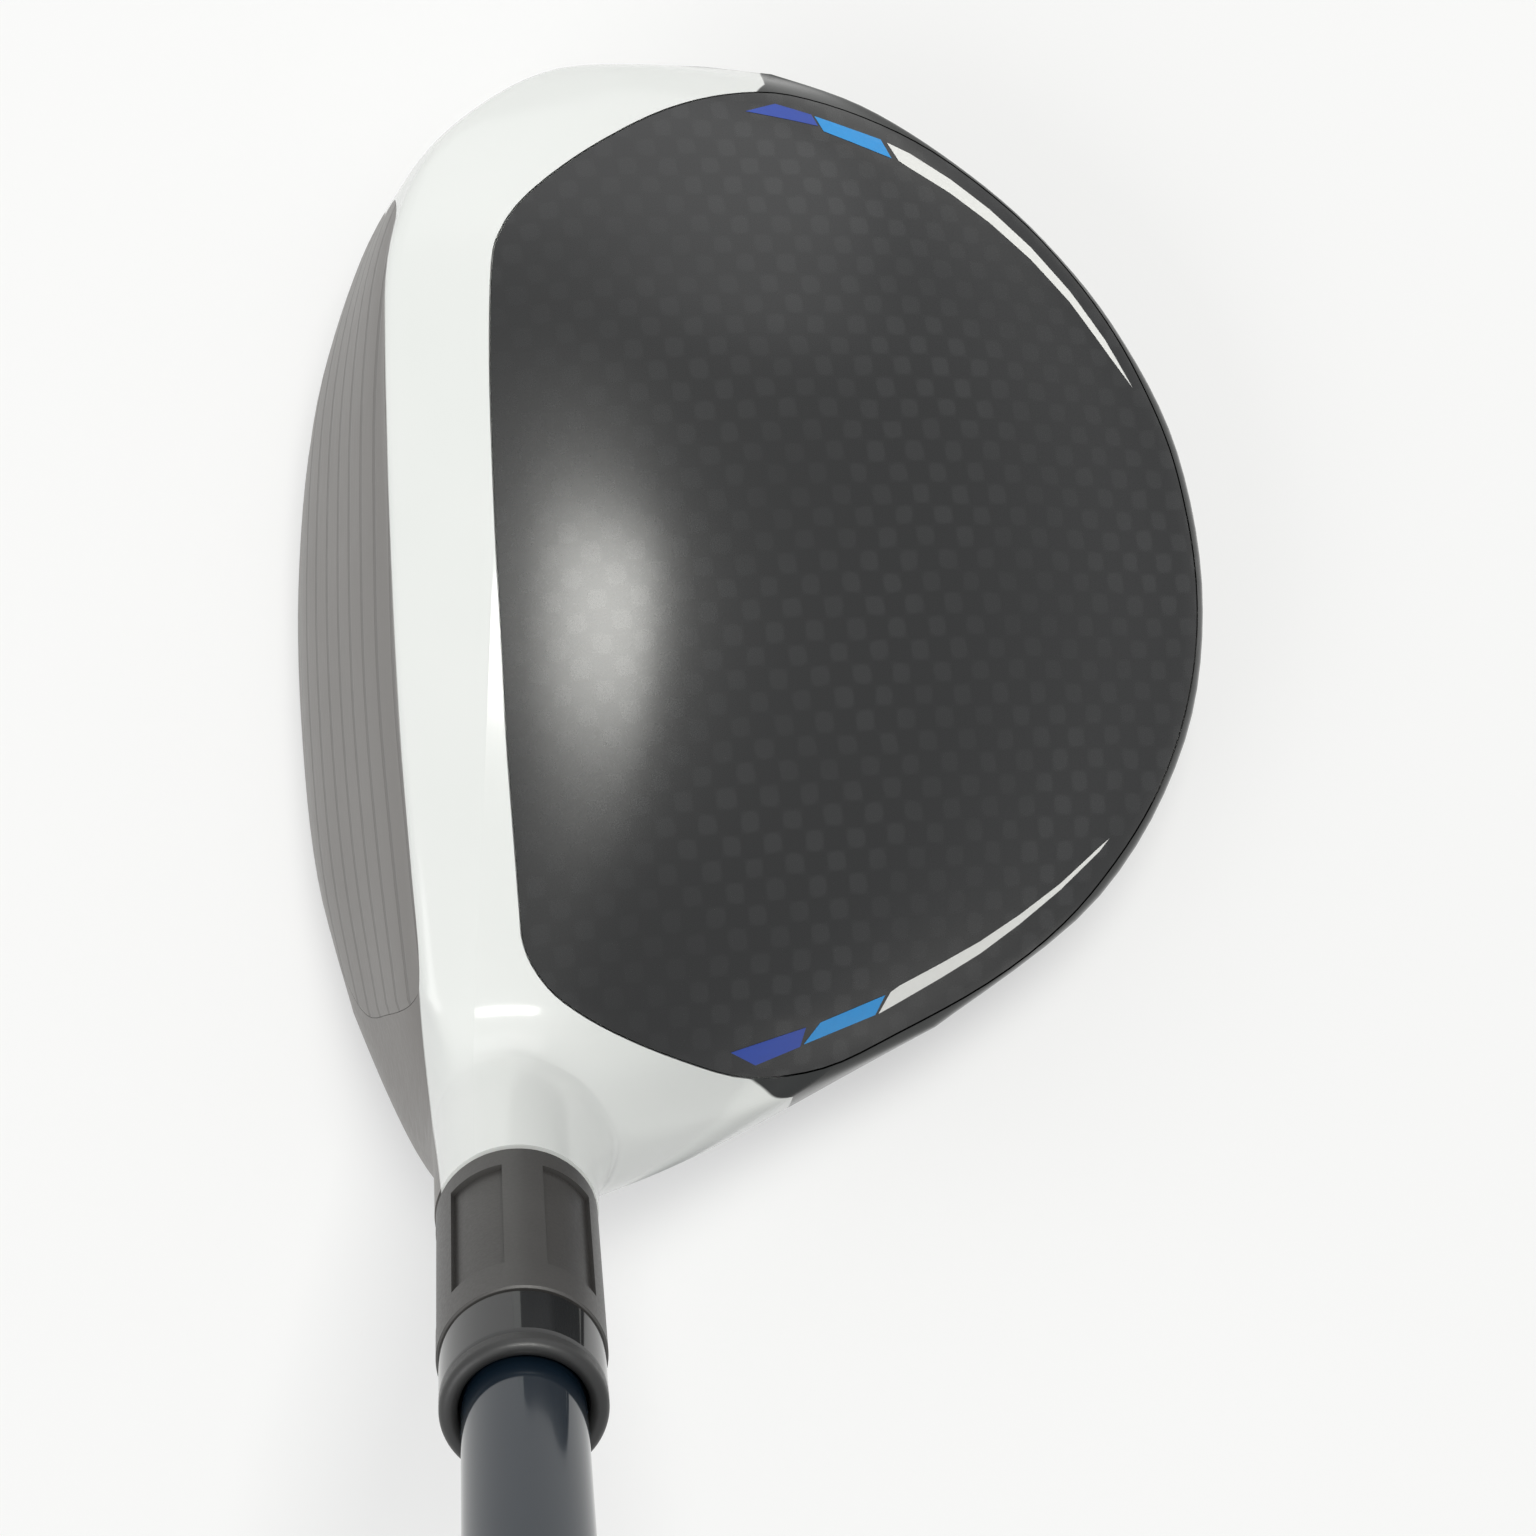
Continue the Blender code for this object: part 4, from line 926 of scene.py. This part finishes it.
grip_end = CLUB_LENGTH - 2 * GAP
grip_hole = [(shaft_radius(s) + CORE, s) for s in (SHAFT_END + GAP, BUTT_START, GRIP_START)]
grip_mouth = shaft_radius(GRIP_START) + CORE + GRIP_MOUTH_WALL
grip_butt = SHAFT_BUTT_RADIUS + CORE + GRIP_BUTT_WALL
grip_cap = grip_butt + GRIP_CAP_FLARE
grip_outside = [(grip_mouth - GRIP_MOUTH_STEP, GRIP_START), (grip_mouth, GRIP_START + GRIP_ROUND),
                (grip_mouth + GRIP_WAIST[0] * (grip_butt - grip_mouth), GRIP_START + GRIP_WAIST[1]),
                (grip_butt, grip_end - GRIP_FLARE), (grip_cap, grip_end - GRIP_CAP_BAND)]
corner_turn = [0.5 * math.pi * k / GRIP_CORNER_STEPS for k in range(GRIP_CORNER_STEPS + 1)]
corner = [(grip_cap - GRIP_CORNER * (1 - math.cos(a)), grip_end - GRIP_CORNER * (1 - math.sin(a)))
          for a in corner_turn]
cap_seat = SHAFT_END + CAP_FLANGE - GAP
seat_wall = [(CAP_RADIUS + GAP, grip_end), (CAP_RADIUS + GAP, cap_seat), (grip_hole[0][0], cap_seat)]
grip = turned("grip_fine", grip_outside + corner + seat_wall + grip_hole)
dress(grip, "shaft_assembly", RUBBER, ["grip"])

plug = SHAFT_BUTT_RADIUS - SHAFT_WALL - GAP
plug_end = SHAFT_END - PLUG_LENGTH
flange = SHAFT_END + CAP_FLANGE
cap = turned("cap_fine", [
    (CAP_HOLE, plug_end), (plug - BREAK, plug_end), (plug, plug_end + BREAK), (plug, flange),
    (CAP_RADIUS, flange), (CAP_RADIUS, CLUB_LENGTH - BREAK), (CAP_RADIUS - BREAK, CLUB_LENGTH),
    (CAP_HOLE, CLUB_LENGTH)])
dress(cap, "shaft_assembly", CAP, ["butt_cap"])

# Solid nodes that stay as they are
for name, mat in (("screw_washer", SCREW), ("screw_retainer", SCREW), ("grip_tape", TAPE)):
    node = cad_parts[name]
    node.data.materials.clear()
    node.data.materials.append(mat)

# Floor, light and camera, in metres
FLOOR_SIZE = 60.0
FLOOR_DROP = 0.00005
FLOOR_COLOUR = (0.89, 0.89, 0.89)
FLOOR_GLOW = (0.93, 0.93, 0.93)
FLOOR_GLOW_SHARE = 0.50
KEY_SIZE = (0.66, 0.38)
KEY_FROM = Vector((0.02, 0.28, 1.52))
KEY_POWER = 15.0
KEY_COLOUR = (1.0, 1.0, 0.955)
SIDE_SIZE = (1.0, 0.9)
SIDE_FROM = Vector((-1.10, -0.80, 1.00))
SIDE_POWER = 7.5
FILL_SIZE = (2.6, 1.3)
FILL_FROM = Vector((0.1, 1.95, 0.85))
FILL_POWER = 8.0
WORLD_COLOUR = (0.97, 0.985, 1.0)
WORLD_LIGHT = 0.30
WORLD_BACKGROUND = 0.86
CAMERA_AT = Vector((-0.03315, -0.05414, 0.32574))
CAMERA_AXES = ((0.99265594, 0.02770087, 0.11775755), (-0.04265222, 0.99106069, 0.12641001),
               (-0.11320321, -0.13050427, 0.98496379))
CAMERA_LENS = 82.03
CAMERA_SENSOR = 36.0
CAMERA_NEAR = 0.01
scene = bpy.context.scene


# 1 for what the camera sees straight, in gloss or through glass, and 0 for light that falls on the object
def seen_directly(tree):
    path = tree.nodes.new("ShaderNodeLightPath")
    total = path.outputs["Is Camera Ray"]
    for ray in ("Is Glossy Ray", "Is Transmission Ray"):
        either = tree.nodes.new("ShaderNodeMath")
        either.operation = "MAXIMUM"
        tree.links.new(total, either.inputs[0])
        tree.links.new(path.outputs[ray], either.inputs[1])
        total = either.outputs[0]
    return total


def pale_floor():
    mat = bpy.data.materials.new("pale_floor")
    mat.use_nodes = True
    tree = mat.node_tree
    tree.nodes.clear()
    out = tree.nodes.new("ShaderNodeOutputMaterial")
    diffuse = tree.nodes.new("ShaderNodeBsdfDiffuse")
    diffuse.inputs["Color"].default_value = tint(*FLOOR_COLOUR)
    glow = tree.nodes.new("ShaderNodeEmission")
    glow.inputs["Color"].default_value = tint(*FLOOR_GLOW)
    mix = tree.nodes.new("ShaderNodeMixShader")
    share = tree.nodes.new("ShaderNodeMath")
    share.operation = "MULTIPLY"
    share.inputs[1].default_value = FLOOR_GLOW_SHARE
    tree.links.new(seen_directly(tree), share.inputs[0])
    tree.links.new(share.outputs[0], mix.inputs[0])
    tree.links.new(diffuse.outputs[0], mix.inputs[1])
    tree.links.new(glow.outputs[0], mix.inputs[2])
    tree.links.new(mix.outputs[0], out.inputs[0])
    return mat


def area_light(name, at, size, power, colour=(1.0, 1.0, 1.0)):
    data = bpy.data.lights.new(name, "AREA")
    data.shape = "RECTANGLE"
    data.size, data.size_y = size
    data.energy = power
    data.color = colour
    lamp = bpy.data.objects.new(name, data)
    lamp.location = at
    lamp.rotation_euler = (-at).to_track_quat("-Z", "Y").to_euler()
    scene.collection.objects.link(lamp)


floor_z = cad_box[0][2] - FLOOR_DROP
reach = 0.5 * FLOOR_SIZE
floor_mesh = bpy.data.meshes.new("floor")
floor_mesh.from_pydata([(-reach, -reach, floor_z), (reach, -reach, floor_z), (reach, reach, floor_z),
                        (-reach, reach, floor_z)], [], [(0, 1, 2, 3)])
floor_mesh.materials.append(pale_floor())
floor = bpy.data.objects.new("floor", floor_mesh)
scene.collection.objects.link(floor)

area_light("key", KEY_FROM, KEY_SIZE, KEY_POWER, KEY_COLOUR)
area_light("side", SIDE_FROM, SIDE_SIZE, SIDE_POWER)
area_light("fill", FILL_FROM, FILL_SIZE, FILL_POWER)

world = bpy.data.worlds.new("studio")
world.use_nodes = True
scene.world = world
sky = world.node_tree.nodes["Background"]
sky.inputs["Color"].default_value = tint(*WORLD_COLOUR)
strength = world.node_tree.nodes.new("ShaderNodeMapRange")
strength.inputs["To Min"].default_value = WORLD_LIGHT
strength.inputs["To Max"].default_value = WORLD_BACKGROUND
world.node_tree.links.new(seen_directly(world.node_tree), strength.inputs["Value"])
world.node_tree.links.new(strength.outputs[0], sky.inputs["Strength"])

lens = bpy.data.cameras.new("camera")
lens.sensor_width = CAMERA_SENSOR
lens.sensor_height = CAMERA_SENSOR
lens.lens = CAMERA_LENS
lens.clip_start = CAMERA_NEAR
camera = bpy.data.objects.new("camera", lens)
camera.matrix_world = Matrix.Translation(CAMERA_AT) @ Matrix(CAMERA_AXES).transposed().to_4x4()
scene.collection.objects.link(camera)
bpy.context.scene.camera = camera
scene.view_settings.view_transform = "Standard"
